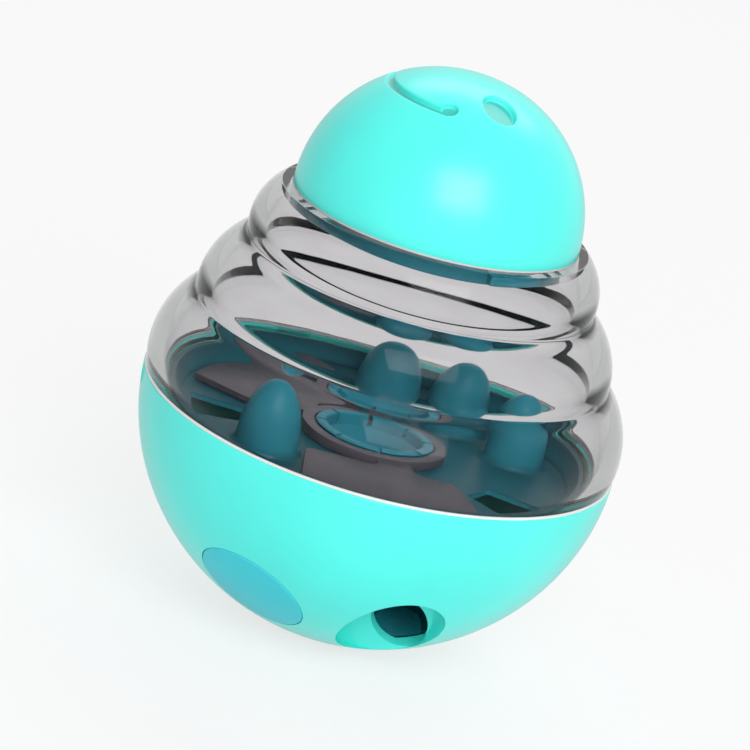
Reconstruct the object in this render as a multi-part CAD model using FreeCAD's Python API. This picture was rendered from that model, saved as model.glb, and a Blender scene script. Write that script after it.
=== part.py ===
"""Tumbling treat ball: a weighted bowl, a ribbed clear hopper and a dome cap.

Millimetres, +Z up. The origin is the middle of the small flat foot under the bowl.
Azimuth 0 looks along -Y and grows towards +X; the outlet is at the front right.
"""
import FreeCAD
import Part
import math
import os

V = FreeCAD.Vector
UP = V(0, 0, 1)

# Overall size
BOWL_R = 55.0            # outer radius of the bowl at the seam
BOWL_DEPTH = 53.1        # depth of the round form, before the foot is cut
BOWL_POWER = 1.968       # roundness of the bowl's outline, 2 is an ellipse
FOOT_R = 9.0             # radius of the flat foot
CAP_R = 33.0
CAP_HEIGHT = 32.8
CAP_POWER = 2.044
CAP_CROWN = 1.4          # extra thickness at the top of the dome

# Heights above the foot
SEAM = BOWL_DEPTH * (1 - (FOOT_R / BOWL_R) ** BOWL_POWER) ** (1 / BOWL_POWER)
CAP_RIM = SEAM + 49.2
FLOOR = SEAM - 6.9       # top of the tray's floor
SHOULDER = CAP_RIM - 0.6

# Walls
BOWL_WALL = 2.6
SHELL_WALL = 4.0
CAP_WALL = 2.2
TRAY_WALL = 1.5

# Clear shell: three round ribs, each a circle of centre radius, height and radius
RIBS = [(35.5, SEAM + 4.9, 19.7), (31.0, SEAM + 20.8, 17.2), (27.6, SEAM + 38.4, 12.8)]
NECK_FILLET = 0.9        # radius at the bottom of the two necks between ribs
INNER_FILLET = 9.0       # the same on the inner face
ROOT_R = 53.0            # where the shell's underside turns down to the skirt
SKIRT_R = 51.6
SKIRT_WALL = 2.0
SKIRT_BOTTOM = SEAM - 6.3
MOUTH_R = 30.0
MOUTH_THICK = 1.6        # height of the mouth ring under the shoulder

# Seals between the parts that turn on each other
SEAL_THICK = 0.6
SEAM_SEAL_IN = 53.2
SEAM_SEAL_OUT = 54.9
CAP_SEAL_IN = 31.9
CAP_SEAL_OUT = 32.9

# Inside of the bowl
FLAT_R = 14.0            # thick flat middle over the foot
FLAT_TOP = 3.2
LEDGE_R = 50.0           # ledge that the tray rests on
LEDGE_THICK = 1.8

# Thumb notch under the seam: a ball's cut
NOTCH_AZ = -80.0
NOTCH_R = 5.5
NOTCH_OUT = 4.4          # how far the ball's centre stands outside the bowl
NOTCH_DROP = 2.0

# Bayonet lugs: half angles in degrees
SHELL_LUGS = 4
SHELL_LUG_HALF = 4.5
SHELL_LUG_R = 53.0
SHELL_LUG_START = 30.0
SHELL_LUG_LOW = SEAM - 5.7
SHELL_LUG_TOP = SEAM - 3.9
SHELL_TURN = 20.0
GROOVE_R = 50.0          # inner radius of the cut that makes the grooves
GROOVE_GAP = 0.4         # room round a lug in its groove
GROOVE_SIDE = 1.0        # room beside a lug, in degrees
CAP_LUGS = 3
CAP_LUG_HALF = 12.0
CAP_LUG_R = 31.2
CAP_NECK_R = 29.3
CAP_LUG_START = 40.0     # azimuth of the first lug
CAP_LUG_THICK = 1.8
CAP_LUG_RISE = 0.3        # from the neck's end to its lugs
CAP_LUG_SIDE = 2.0       # room beside a lug in its notch, in degrees
CAP_NECK_LONG = 4.8
CAP_NECK_WALL = 2.0
CAP_DISC = 1.8           # closing disc under the dome
DISC_GAP = 0.2           # room round the disc in the dome

# Tray: hub, posts and drop windows
TRAY_R = 51.2
TRAY_RIM_R = 49.2
HUB_R = 13.2
HUB_HOLE_R = 11.2
HUB_TOP = FLOOR + 3.4
HUB_SLITS = 8
HUB_SLIT_WIDE = 1.0
HUB_SLIT_SHIFT = 0.2     # turn of the slits, as a part of their spacing
HUB_SLIT_LOW = FLOOR + 0.7
HUB_LIP = 0.8            # how far the snap lip stands out
HUB_SLIT_OUT = 1.0       # how far outside the hub the cut of a slit starts
DISH_DEPTH = 4.6
RIM_TOP = SEAM - 1.0
RIM_WALL = 1.3
RIM_SLOPE = 2.8          # width of the rim at the tray's floor
POST_POWER = 2.1
POST_FLARE = 0.8
POST_FLARE_HIGH = 1.6
POST_FLARE_IN = 0.1      # how far the flare's top goes into the post
POSTS = [(-44.0, 32.5, 7.2, 16.5), (180.0, 33.0, 8.0, 17.3),
         (149.0, 34.0, 7.7, 17.3), (112.0, 35.0, 7.2, 16.5)]  # azimuth, place, radius, height
WINDOW_IN = 30.0
WINDOW_OUT = 43.5
WINDOW_HALF = 9.0
WINDOW_TURN = 56.5       # from a blade's azimuth to the window it closes

# Gate plate: a ring on the hub with two blades
GATE_RING_R = 17.0
GATE_BORE_R = 13.5
GATE_BOTTOM = FLOOR + 0.3
GATE_PLATE = 1.6
GATE_RING_HEIGHT = 2.5
GATE_STEP = 0.7          # step round the top of the ring's bore
BLADE_LEFT = 15.2        # from a blade's azimuth line to its straight side
BLADE_RIGHT = 19.0       # and to the near corner of its slanting side
BLADE_NEAR = 20.0
BLADE_FAR = 44.5
BLADE_SPREAD = 0.39      # slant of that side
BLADE_CORNER = 2.0
SPOKE_HALF = 3.9
SPOKE_NEAR = 4.3         # how near its middle line the rounded corners of a spoke stand
SPOKE_BAND = 1.5         # how near the inner edge of a blade they stand
SPOKE_TURN = 16.5        # from a blade's azimuth to its spoke
SPOKE_FILLET = 2.2
BLADES = [3.5, -133.5]
POST_ROOM = 0.5          # between the gate plate and the post beside it

# Outlet and plug, both on the lower half of the bowl
OUTLET_AZ = 24.5
PLUG_AZ = -26.0
PLUG_POLAR = 48.2        # angle of the plug from the downward axis
POCKET_R = 11.2          # level round pocket that the outlet opens into
POCKET_DROP = 36.0       # its axis under the seam
POCKET_SIDE = -0.8
POCKET_WALL = 2.0
HOLE_AZ = -8.0           # way that the pocket's back wall looks
HOLE_TILT = -15.0
HOLE_R = 6.6
HOLE_X = 16.6            # middle of the hole in that wall
HOLE_Y = -25.4
HOLE_DROP = 37.0
HOLE_RISE = 25.0         # slope of the hole, up into the chamber
HOLE_START = 3.0
HOLE_LONG = 14.0
PLUG_R = 13.2
PLUG_CAP = 2.3           # thickness of the plug's cap
PLUG_PROUD = 0.15
PLUG_STEM_R = 7.3
PLUG_STEM_LONG = 9.0
PLUG_WALL = 1.6
PLUG_GAP = 0.15
COLLAR_WALL = 2.4
COLLAR_LONG = 7.0
SEAT_REACH = 4           # how many clearances the seat's cut goes past the bowl's face

# Weight
WEIGHT_GAP = 0.3
WEIGHT_R = 26.0
WEIGHT_TOP = SEAM - 40.5
COVER_R = 30.6
COVER_THICK = 1.8
COVER_EDGE = 0.8
COVER_CROWN = 1.4
CHUTE_WALL = 1.2         # wall of the trough from the cover's top to the outlet's hole
SCREW_RING_R = 20.0
SCREWS = 3
SCREW_START = 85.0
SCREW_SHANK_R = 1.15
SCREW_HEAD_R = 2.4
SCREW_HEAD = 1.5
SCREW_DEPTH = 5.0
SCREW_SLOT = 0.6
SCREW_SLOT_REACH = 1.25  # length of a slot as a part of the head's radius
BOSS_R = 2.5

# Face pressed into the cap: one long arc and two ovals
SMILE_R = 18.1
SMILE_MIDDLE = -90.0
SMILE_HALF = 78.0
SMILE_WIDTH = 1.7
SMILE_DEEP = 0.9
SMILE_END_R = 1.9
SMILE_ROUND = 0.7        # roundness of the groove's bottom
EYE_R = 13.8
EYE_OFFSET = 59.0        # degrees between each eye and the +X direction
EYE_LONG = 4.5
EYE_WIDE = 3.9
EYE_DEEP = 1.5

FAR = 200.0              # longer than anything here, for cutting tools


def polar(azimuth, radius, z=0.0):
    """Point at an azimuth from -Y towards +X."""
    a = math.radians(azimuth)
    return V(radius * math.sin(a), -radius * math.cos(a), z)


def turn(shape, azimuth):
    """Copy of a shape that was made at azimuth 0, turned about Z."""
    result = shape.copy()
    result.rotate(V(0, 0, 0), UP, azimuth)
    return result


def round_height(radius, wide, high, power):
    """Height on a round form above its widest plane at a given radius."""
    return high * (1 - (radius / wide) ** power) ** (1 / power)


def round_edge(wide, high, power, z0, steps=14):
    """Edge of a dome's outline in the XZ plane, from its rim to the axis."""
    points = []
    for i in range(steps + 1):
        t = math.pi / 2 * i / steps
        r = wide * abs(math.cos(t)) ** (2 / power)
        z = high * math.sin(t) ** (2 / power)
        points.append(V(r, 0, z0 + z))
    points[-1].x = 0.0
    curve = Part.BSplineCurve()
    curve.interpolate(Points=points, InitialTangent=UP, FinalTangent=V(-1, 0, 0))
    return curve.toShape()


def polyline(points):
    """Straight edges through (r, z) points in the XZ plane."""
    vectors = [V(r, 0, z) for r, z in points]
    return [Part.LineSegment(a, b).toShape() for a, b in zip(vectors, vectors[1:])]


def spin(edges, angle=360.0):
    """Solid of revolution about Z from a closed outline of edges."""
    wire = Part.Wire(Part.__sortEdges__(edges))
    return Part.Face(wire).revolve(V(0, 0, 0), UP, angle)


def ring(r_in, r_out, z0, z1):
    """Plain ring or, with r_in of 0, a disc."""
    body = Part.makeCylinder(r_out, z1 - z0, V(0, 0, z0))
    if r_in > 0:
        body = body.cut(Part.makeCylinder(r_in, z1 - z0 + 2, V(0, 0, z0 - 1)))
    return body


def sector(r_in, r_out, z0, z1, azimuth, half):
    """Part of a ring, centred on an azimuth."""
    points = [(r_in, z0), (r_out, z0), (r_out, z1), (r_in, z1), (r_in, z0)]
    body = spin(polyline(points), 2 * half)
    return turn(body, azimuth - 90.0 - half)


def dome_solid(wide, high, power, z0, down=False):
    """Solid round form: a dome up from z0 or, with down, a bowl under it."""
    outline = round_edge(wide, high, power, z0)
    body = spin([outline] + polyline([(0, z0 + high), (0, z0), (wide, z0)]))
    if down:
        body.rotate(V(0, 0, z0), V(1, 0, 0), 180)
    return body


def plug_place():
    """Point on the bowl's outer face in the middle of the plug, and its outward direction."""
    p = math.radians(PLUG_POLAR)
    outward = polar(PLUG_AZ, math.sin(p), -math.cos(p))
    across = (math.sin(p) / BOWL_R) ** BOWL_POWER
    down = (math.cos(p) / BOWL_DEPTH) ** BOWL_POWER
    return V(0, 0, SEAM) + outward * (across + down) ** (-1 / BOWL_POWER), outward


def hole_normal():
    """Direction that the back wall of the outlet's pocket looks."""
    tilt = math.radians(HOLE_TILT)
    return polar(HOLE_AZ, math.cos(tilt), math.sin(tilt))


def outlet_pocket(grow=0.0):
    """Level round pocket that ends at its slanting back wall, made larger by grow."""
    middle = polar(OUTLET_AZ + 90.0, POCKET_SIDE, SEAM - POCKET_DROP)
    level = Part.makeCylinder(POCKET_R + grow, FAR, middle, polar(OUTLET_AZ, 1.0))
    normal = hole_normal()
    place = V(HOLE_X, HOLE_Y, SEAM - HOLE_DROP) - normal * grow
    return level.common(Part.makeCylinder(FAR, FAR, place, normal))


def outlet_hole(grow=0.0):
    """Round hole from the pocket up into the chamber, made wider by grow."""
    rise = math.radians(HOLE_RISE)
    inward = polar(HOLE_AZ, -math.cos(rise), math.sin(rise))
    start = V(HOLE_X, HOLE_Y, SEAM - HOLE_DROP) - inward * HOLE_START
    return Part.makeCylinder(HOLE_R + grow, HOLE_START + HOLE_LONG, start, inward)


def hollow_form(gap=0.0):
    """Inner round form of the bowl, drawn in by a gap."""
    inset = BOWL_WALL + gap
    return dome_solid(BOWL_R - inset, BOWL_DEPTH - inset, BOWL_POWER, SEAM, down=True)


def make_bowl():
    outer = dome_solid(BOWL_R, BOWL_DEPTH, BOWL_POWER, SEAM, down=True)
    bowl = outer.cut(hollow_form().cut(ring(0, FLAT_R, 0, FLAT_TOP)))
    ledge_top = FLOOR - TRAY_WALL
    bowl = bowl.fuse(ring(LEDGE_R, BOWL_R, ledge_top - LEDGE_THICK, ledge_top).common(outer))
    bowl = bowl.fuse(outlet_pocket(POCKET_WALL).common(outer))
    bowl = bowl.fuse(plug_collar().common(outer))
    for i in range(SCREWS):
        bowl = bowl.fuse(screw_boss(i).common(outer))
    bowl = bowl.cut(outlet_pocket())
    bowl = bowl.cut(outlet_hole())
    bowl = bowl.cut(plug_body(PLUG_GAP))
    top = SEAM - SEAL_THICK / 2
    bowl = bowl.cut(ring(0, FAR, top, SEAM + FAR))
    bowl = bowl.cut(ring(0, FAR, -FAR, 0))
    bowl = bowl.cut(Part.makeCone(0, ROOT_R, ROOT_R, V(0, 0, top - ROOT_R)))
    bowl = bowl.cut(thumb_notch())
    for i in range(SCREWS):
        place = polar(screw_azimuth(i), SCREW_RING_R, WEIGHT_TOP - SCREW_DEPTH)
        bowl = bowl.cut(Part.makeCylinder(SCREW_SHANK_R, FAR, place))
    for i in range(SHELL_LUGS):
        bowl = cut_groove(bowl, lug_azimuth(i))
    return bowl


def plug_collar(grow=0.0):
    """Thick wall round the plug's hole, grown by an amount for the room round it."""
    origin, outward = plug_place()
    return Part.makeCylinder(PLUG_STEM_R + COLLAR_WALL + grow, COLLAR_LONG + grow, origin, outward * -1.0)


def cut_groove(bowl, azimuth):
    """Groove for one lug of the shell: a way down, then a run to one side."""
    half = SHELL_LUG_HALF + GROOVE_SIDE
    outer_r = SHELL_LUG_R + GROOVE_GAP
    bottom = SHELL_LUG_LOW - GROOVE_GAP
    bowl = bowl.cut(sector(GROOVE_R, outer_r, bottom, SEAM + SEAL_THICK, azimuth, half))
    top = SHELL_LUG_TOP + GROOVE_GAP
    middle = azimuth + SHELL_TURN / 2
    return bowl.cut(sector(GROOVE_R, outer_r, bottom, top, middle, half + SHELL_TURN / 2))


def lug_azimuth(index):
    """Where a lug of the shell stands at rest."""
    return 360.0 / SHELL_LUGS * index + SHELL_LUG_START


def cap_lug_azimuth(index):
    """Where a lug of the cap stands at rest."""
    return 360.0 / CAP_LUGS * index + CAP_LUG_START


def screw_azimuth(index):
    """Where a cover screw stands."""
    return 360.0 / SCREWS * index + SCREW_START


def screw_boss(index):
    """Post that takes one cover screw."""
    return Part.makeCylinder(BOSS_R, WEIGHT_TOP, polar(screw_azimuth(index), SCREW_RING_R))


def thumb_notch():
    place = polar(NOTCH_AZ, BOWL_R + NOTCH_OUT, SEAM - NOTCH_DROP)
    return Part.makeSphere(NOTCH_R, place)


def plug_body(clearance=0.0):
    """Round plug: a cap that follows the bowl and a stem that fills the hole."""
    origin, outward = plug_place()
    inward = outward * -1.0
    # With a clearance this is the cut in the bowl, so it also reaches out past the bowl's face
    proud = PLUG_PROUD + SEAT_REACH * clearance
    skin = dome_solid(BOWL_R + proud, BOWL_DEPTH + proud, BOWL_POWER, SEAM, down=True)
    above = BOWL_WALL / 2
    thick = above + PLUG_CAP + clearance
    cap = Part.makeCylinder(PLUG_R + clearance, thick, origin + outward * above, inward).common(skin)
    stem = Part.makeCylinder(PLUG_STEM_R + clearance, PLUG_STEM_LONG, origin - outward, inward)
    return cap.fuse(stem)


def make_plug():
    origin, outward = plug_place()
    start = origin - outward * 2 * PLUG_WALL
    hollow = Part.makeCylinder(PLUG_STEM_R - PLUG_WALL, PLUG_STEM_LONG, start, outward * -1.0)
    return plug_body().cut(hollow)


def make_weight():
    body = ring(0, WEIGHT_R - WEIGHT_GAP, FLAT_TOP, WEIGHT_TOP - WEIGHT_GAP).common(hollow_form(WEIGHT_GAP))
    body = body.cut(outlet_pocket(POCKET_WALL + WEIGHT_GAP)).cut(outlet_hole(CHUTE_WALL + WEIGHT_GAP))
    body = body.cut(plug_collar(WEIGHT_GAP))
    for i in range(SCREWS):
        body = body.cut(Part.makeCylinder(BOSS_R + WEIGHT_GAP, FAR, polar(screw_azimuth(i), SCREW_RING_R)))
    return body


def cover_form(z0):
    """Round body up to the cover's slightly domed top, from a height."""
    z1 = WEIGHT_TOP + COVER_THICK
    points = [(0, z0), (COVER_R, z0), (COVER_R, WEIGHT_TOP + COVER_EDGE), (WEIGHT_R, z1),
              (0, z1 + COVER_CROWN), (0, z0)]
    return spin(polyline(points))


def make_weight_cover():
    """Lid over the weight, with a trough that leads treats down to the outlet's hole."""
    cover = cover_form(WEIGHT_TOP)
    for i in range(SCREWS):
        hole = polar(screw_azimuth(i), SCREW_RING_R)
        sink = polar(screw_azimuth(i), SCREW_RING_R, WEIGHT_TOP + COVER_EDGE)
        cover = cover.cut(Part.makeCylinder(SCREW_SHANK_R + WEIGHT_GAP, FAR, hole))
        cover = cover.cut(Part.makeCylinder(SCREW_HEAD_R + WEIGHT_GAP, FAR, sink))
    cover = cover.fuse(cover_form(FLAT_TOP).common(outlet_hole(CHUTE_WALL))).cut(outlet_hole())
    cover = cover.common(hollow_form(WEIGHT_GAP)).cut(outlet_pocket(POCKET_WALL + WEIGHT_GAP))
    return cover.cut(plug_collar(WEIGHT_GAP))


def make_screw(azimuth):
    """One cross-slotted screw."""
    sink = polar(azimuth, SCREW_RING_R, WEIGHT_TOP + COVER_EDGE)
    tip = polar(azimuth, SCREW_RING_R, WEIGHT_TOP - SCREW_DEPTH)
    shank = Part.makeCylinder(SCREW_SHANK_R, SCREW_DEPTH + COVER_EDGE, tip)
    screw = Part.makeCylinder(SCREW_HEAD_R, SCREW_HEAD, sink).fuse(shank)
    for quarter in (0.0, 90.0):
        long = SCREW_HEAD_R * SCREW_SLOT_REACH
        slot = Part.makeBox(long, SCREW_SLOT, SCREW_HEAD, V(-long / 2, -SCREW_SLOT / 2, 0))
        slot.rotate(V(0, 0, 0), UP, quarter)
        slot.translate(sink + UP * SCREW_HEAD / 2)
        screw = screw.cut(slot)
    return screw.removeSplitter()


def make_weight_screws():
    return Part.makeCompound([make_screw(screw_azimuth(i)) for i in range(SCREWS)])


def make_post(azimuth, place, radius, height):
    """Bullet-shaped post and the hollow under it."""
    outer = dome_solid(radius, height, POST_POWER, FLOOR)
    low = FLOOR - TRAY_WALL / 2
    high = FLOOR + POST_FLARE_HIGH
    flare_r = radius + POST_FLARE
    points = [(0, low), (flare_r, low), (flare_r, FLOOR), (radius - POST_FLARE_IN, high), (0, high), (0, low)]
    outer = outer.fuse(spin(polyline(points)))
    inner_r = radius - TRAY_WALL
    inner = dome_solid(inner_r, height - TRAY_WALL, POST_POWER, FLOOR)
    inner = inner.fuse(Part.makeCylinder(inner_r, 2 * TRAY_WALL, V(0, 0, FLOOR - 2 * TRAY_WALL)))
    outer.translate(polar(azimuth, place))
    inner.translate(polar(azimuth, place))
    return outer, inner


def dish_arc(edge_r, edge_z):
    """Arc of a round dish in the XZ plane, from its edge to its middle on the axis."""
    full_r = (edge_r ** 2 + DISH_DEPTH ** 2) / (2 * DISH_DEPTH)
    low = edge_z - DISH_DEPTH
    half_r = edge_r / 2
    half_z = low + full_r - math.sqrt(full_r ** 2 - half_r ** 2)
    return Part.Arc(V(edge_r, 0, edge_z), V(half_r, 0, half_z), V(0, 0, low)).toShape()


def make_tray():
    """Floor with a sloping rim, a hub with a snap lip round a dish, and four posts."""
    z0 = FLOOR - TRAY_WALL
    lip_z = HUB_TOP - HUB_LIP / 2
    lip_in = HUB_LIP / 2
    outside = [(HUB_HOLE_R, z0), (TRAY_R, z0), (TRAY_R, FLOOR), (TRAY_RIM_R, FLOOR),
               (TRAY_RIM_R, RIM_TOP), (TRAY_RIM_R - RIM_WALL, RIM_TOP), (TRAY_RIM_R - RIM_SLOPE, FLOOR),
               (HUB_R, FLOOR), (HUB_R, lip_z - HUB_LIP / 2), (HUB_R + HUB_LIP, lip_z), (HUB_R, HUB_TOP),
               (HUB_HOLE_R + lip_in, HUB_TOP), (HUB_HOLE_R, HUB_TOP - lip_in), (HUB_HOLE_R, FLOOR)]
    edges = polyline(outside)
    edges.append(dish_arc(HUB_HOLE_R, FLOOR))
    edges += polyline([(0, FLOOR - DISH_DEPTH), (0, z0 - DISH_DEPTH)])
    edges.append(dish_arc(HUB_HOLE_R, z0))
    tray = spin(edges)
    for post in POSTS:
        outer, inner = make_post(*post)
        tray = tray.fuse(outer).cut(inner)
    for azimuth in BLADES:
        window = azimuth + WINDOW_TURN
        tray = tray.cut(sector(WINDOW_IN, WINDOW_OUT, z0 - 1, FLOOR + 1, window, WINDOW_HALF))
    for i in range(HUB_SLITS):
        long = 2 * (HUB_R - HUB_HOLE_R + HUB_LIP)
        corner = V(-HUB_SLIT_WIDE / 2, -HUB_R - HUB_SLIT_OUT, HUB_SLIT_LOW)
        slit = Part.makeBox(HUB_SLIT_WIDE, long, FAR, corner)
        tray = tray.cut(turn(slit, 360.0 / HUB_SLITS * (i + HUB_SLIT_SHIFT)))
    return tray


def make_blade(azimuth):
    """One blade: a plate with one slanting side, and a spoke to the ring."""
    wide = (BLADE_FAR - BLADE_NEAR) * BLADE_SPREAD
    corners = [(-BLADE_LEFT, -BLADE_NEAR), (BLADE_RIGHT, -BLADE_NEAR),
               (BLADE_RIGHT + wide, -BLADE_FAR), (-BLADE_LEFT, -BLADE_FAR), (-BLADE_LEFT, -BLADE_NEAR)]
    outline = Part.makePolygon([V(x, y, GATE_BOTTOM) for x, y in corners])
    plate = Part.Face(Part.Wire(outline)).extrude(UP * GATE_PLATE)
    near = [e for e in plate.Edges if upright(e) and e.Vertexes[0].Y > -BLADE_NEAR - BLADE_CORNER]
    plate = plate.makeFillet(BLADE_CORNER, near)
    plate = plate.common(ring(0, BLADE_FAR, GATE_BOTTOM, GATE_BOTTOM + GATE_PLATE))
    corner = V(-SPOKE_HALF, -BLADE_NEAR - 2 * BLADE_CORNER, GATE_BOTTOM)
    spoke = Part.makeBox(2 * SPOKE_HALF, BLADE_NEAR / 2 + BLADE_CORNER, GATE_PLATE, corner)
    return turn(plate.fuse(turn(spoke, SPOKE_TURN)), azimuth)


def upright(edge):
    """True for an edge that stands along Z."""
    if len(edge.Vertexes) != 2:
        return False
    a, b = [v.Point for v in edge.Vertexes]
    return math.hypot(a.x - b.x, a.y - b.y) < GATE_PLATE / 100 and abs(a.z - b.z) > GATE_PLATE / 2


def make_gate():
    z0 = GATE_BOTTOM
    top = z0 + GATE_RING_HEIGHT
    gate = ring(GATE_BORE_R, GATE_RING_R, z0, top)
    gate = gate.cut(ring(0, GATE_BORE_R + GATE_STEP, top - GATE_STEP, top + 1))
    bore = Part.makeCylinder(GATE_BORE_R, FAR, V(0, 0, 0))
    for azimuth in BLADES:
        gate = gate.fuse(make_blade(azimuth).cut(bore))
    gate = gate.removeSplitter()
    gate = gate.makeFillet(SPOKE_FILLET, [e for e in gate.Edges if is_spoke_corner(e)])
    azimuth, place, radius, height = POSTS[1]
    room = Part.makeCylinder(radius + POST_FLARE + POST_ROOM, height, polar(azimuth, place, FLOOR))
    return gate.cut(room)


def is_spoke_corner(edge):
    """True for the upright edges where a spoke meets its blade."""
    if not upright(edge):
        return False
    point = edge.Vertexes[0].Point
    r = math.hypot(point.x, point.y)
    if abs(r - BLADE_NEAR - SPOKE_FILLET / 2) > SPOKE_BAND:
        return False
    aims = [polar(azimuth + SPOKE_TURN, r) for azimuth in BLADES]
    return min(math.hypot(point.x - aim.x, point.y - aim.y) for aim in aims) < SPOKE_NEAR


def circle_meet(c0, r0, c1, r1):
    """Outer crossing of two circles in the (r, z) plane."""
    dx = c1[0] - c0[0]
    dz = c1[1] - c0[1]
    d = math.hypot(dx, dz)
    along = (d * d + r0 * r0 - r1 * r1) / (2 * d)
    off = math.sqrt(r0 * r0 - along * along)
    base = (c0[0] + dx * along / d, c0[1] + dz * along / d)
    return (base[0] + dz * off / d, base[1] - dx * off / d)


def toward(start, end, length):
    """Point at a length from start on the way to end."""
    d = math.hypot(end[0] - start[0], end[1] - start[1])
    return (start[0] + (end[0] - start[0]) * length / d, start[1] + (end[1] - start[1]) * length / d)


def arc_edge(centre, radius, p, q):
    """Arc of a circle from p to q the short way, in the XZ plane."""
    a0 = math.atan2(p[1] - centre[1], p[0] - centre[0])
    a1 = math.atan2(q[1] - centre[1], q[0] - centre[0])
    while a1 - a0 > math.pi:
        a1 -= 2 * math.pi
    while a0 - a1 > math.pi:
        a1 += 2 * math.pi
    mid = (a0 + a1) / 2
    middle = V(centre[0] + radius * math.cos(mid), 0, centre[1] + radius * math.sin(mid))
    return Part.Arc(V(p[0], 0, p[1]), middle, V(q[0], 0, q[1])).toShape()


def rib_line(offset, fillet, z_start, z_end):
    """Edges along the ribs, moved inwards by offset with rounded necks, and their two end points."""
    edges = []
    centre, radius = RIBS[0][:2], RIBS[0][2] - offset
    start = (centre[0] + math.sqrt(radius ** 2 - (z_start - centre[1]) ** 2), z_start)
    point = start
    for low, high in zip(RIBS, RIBS[1:]):
        low_r = low[2] - offset
        high_r = high[2] - offset
        neck = circle_meet(low[:2], low_r + fillet, high[:2], high_r + fillet)
        below = toward(low[:2], neck, low_r)
        above = toward(high[:2], neck, high_r)
        edges.append(arc_edge(low[:2], low_r, point, below))
        edges.append(arc_edge(neck, fillet, below, above))
        point = above
    centre, radius = RIBS[-1][:2], RIBS[-1][2] - offset
    end = (centre[0] + math.sqrt(radius ** 2 - (z_end - centre[1]) ** 2), z_end)
    edges.append(arc_edge(centre, radius, point, end))
    return edges, start, end


def make_shell():
    """Ribbed clear shell with a skirt that goes into the bowl and a notched mouth."""
    bottom = SEAM + SEAL_THICK / 2
    mouth_low = SHOULDER - MOUTH_THICK
    inner_low = SEAM - SEAL_THICK / 2
    skirt_in = SKIRT_R - SKIRT_WALL
    outer, outer_start, outer_end = rib_line(0.0, NECK_FILLET, bottom, SHOULDER)
    inner, inner_start, inner_end = rib_line(SHELL_WALL, INNER_FILLET, inner_low, mouth_low - SHELL_WALL / 2)
    step = inner_start[0] - skirt_in
    foot = polyline([outer_start, (ROOT_R, bottom), (SKIRT_R, bottom - ROOT_R + SKIRT_R),
                     (SKIRT_R, SKIRT_BOTTOM), (skirt_in, SKIRT_BOTTOM), (skirt_in, inner_low - step),
                     inner_start])
    top = polyline([outer_end, (MOUTH_R, SHOULDER), (MOUTH_R, mouth_low), inner_end])
    shell = spin(outer + inner + foot + top)
    for i in range(SHELL_LUGS):
        inside = SKIRT_R - SKIRT_WALL / 2
        lug = sector(inside, SHELL_LUG_R, SHELL_LUG_LOW, SHELL_LUG_TOP, lug_azimuth(i), SHELL_LUG_HALF)
        shell = shell.fuse(lug)
    for i in range(CAP_LUGS):
        half = CAP_LUG_HALF + CAP_LUG_SIDE
        notch_r = CAP_LUG_R + GROOVE_GAP
        low = mouth_low - 2 * SHELL_WALL
        notch = sector(CAP_NECK_R - CAP_NECK_WALL, notch_r, low, SHOULDER + 1, cap_lug_azimuth(i), half)
        shell = shell.cut(notch)
    return shell


def make_seam_seal():
    return ring(SEAM_SEAL_IN, SEAM_SEAL_OUT, SEAM - SEAL_THICK / 2, SEAM + SEAL_THICK / 2)


def make_cap_seal():
    return ring(CAP_SEAL_IN, CAP_SEAL_OUT, SHOULDER, CAP_RIM)


def cap_point(azimuth, radius):
    """Point on the outer face of the cap and its outward direction."""
    z = round_height(radius, CAP_R, CAP_HEIGHT, CAP_POWER)
    slope = (radius / CAP_R) ** (CAP_POWER - 1) / CAP_R
    rise = (z / CAP_HEIGHT) ** (CAP_POWER - 1) / CAP_HEIGHT
    outward = (polar(azimuth, slope) + UP * rise).normalize()
    return polar(azimuth, radius, CAP_RIM + z), outward


def smile_tool():
    """Round-bottomed groove along an arc, with a wider dimple at each end."""
    point, outward = cap_point(0.0, SMILE_R)
    half = SMILE_WIDTH / 2
    lean = math.atan2(math.hypot(outward.x, outward.y), outward.z)
    axis = V(math.sin(lean), 0, math.cos(lean))
    across = V(math.cos(lean), 0, -math.sin(lean)) * half
    surface = V(SMILE_R, 0, point.z)
    deep = surface - axis * SMILE_DEEP
    high = surface + axis * SMILE_WIDTH
    edges = [Part.LineSegment(high - across, deep - across).toShape(),
             Part.Arc(deep - across, deep - axis * half * SMILE_ROUND, deep + across).toShape(),
             Part.LineSegment(deep + across, high + across).toShape(),
             Part.LineSegment(high + across, high - across).toShape()]
    tool = turn(spin(edges, 2 * SMILE_HALF), SMILE_MIDDLE - 90.0 - SMILE_HALF)
    for end in (SMILE_MIDDLE - SMILE_HALF, SMILE_MIDDLE + SMILE_HALF):
        spot, up = cap_point(end, SMILE_R - SMILE_END_R / 2)
        tool = tool.fuse(Part.makeSphere(SMILE_END_R, spot + up * SMILE_END_R / 5))
    return tool


def eye_tool(azimuth):
    """Oval pocket with a flat bottom, square to the cap's face."""
    point, outward = cap_point(azimuth, EYE_R)
    oval = Part.Ellipse(V(0, 0, 0), EYE_LONG, EYE_WIDE).toShape()
    tool = Part.Face(Part.Wire([oval])).extrude(UP * 4 * EYE_DEEP)
    tool.translate(UP * -EYE_DEEP)
    lean = math.degrees(math.acos(outward.z))
    tool.rotate(V(0, 0, 0), V(0, 1, 0), lean)
    tool = turn(tool, azimuth - 90.0)
    tool.translate(point)
    return tool


def make_cap_dome():
    outer = dome_solid(CAP_R, CAP_HEIGHT, CAP_POWER, CAP_RIM)
    inner_high = CAP_HEIGHT - CAP_WALL - CAP_CROWN
    dome = outer.cut(dome_solid(CAP_R - CAP_WALL, inner_high, CAP_POWER, CAP_RIM))
    dome = dome.cut(smile_tool())
    for azimuth in (90.0 - EYE_OFFSET, 90.0 + EYE_OFFSET):
        dome = dome.cut(eye_tool(azimuth))
    return dome


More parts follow.
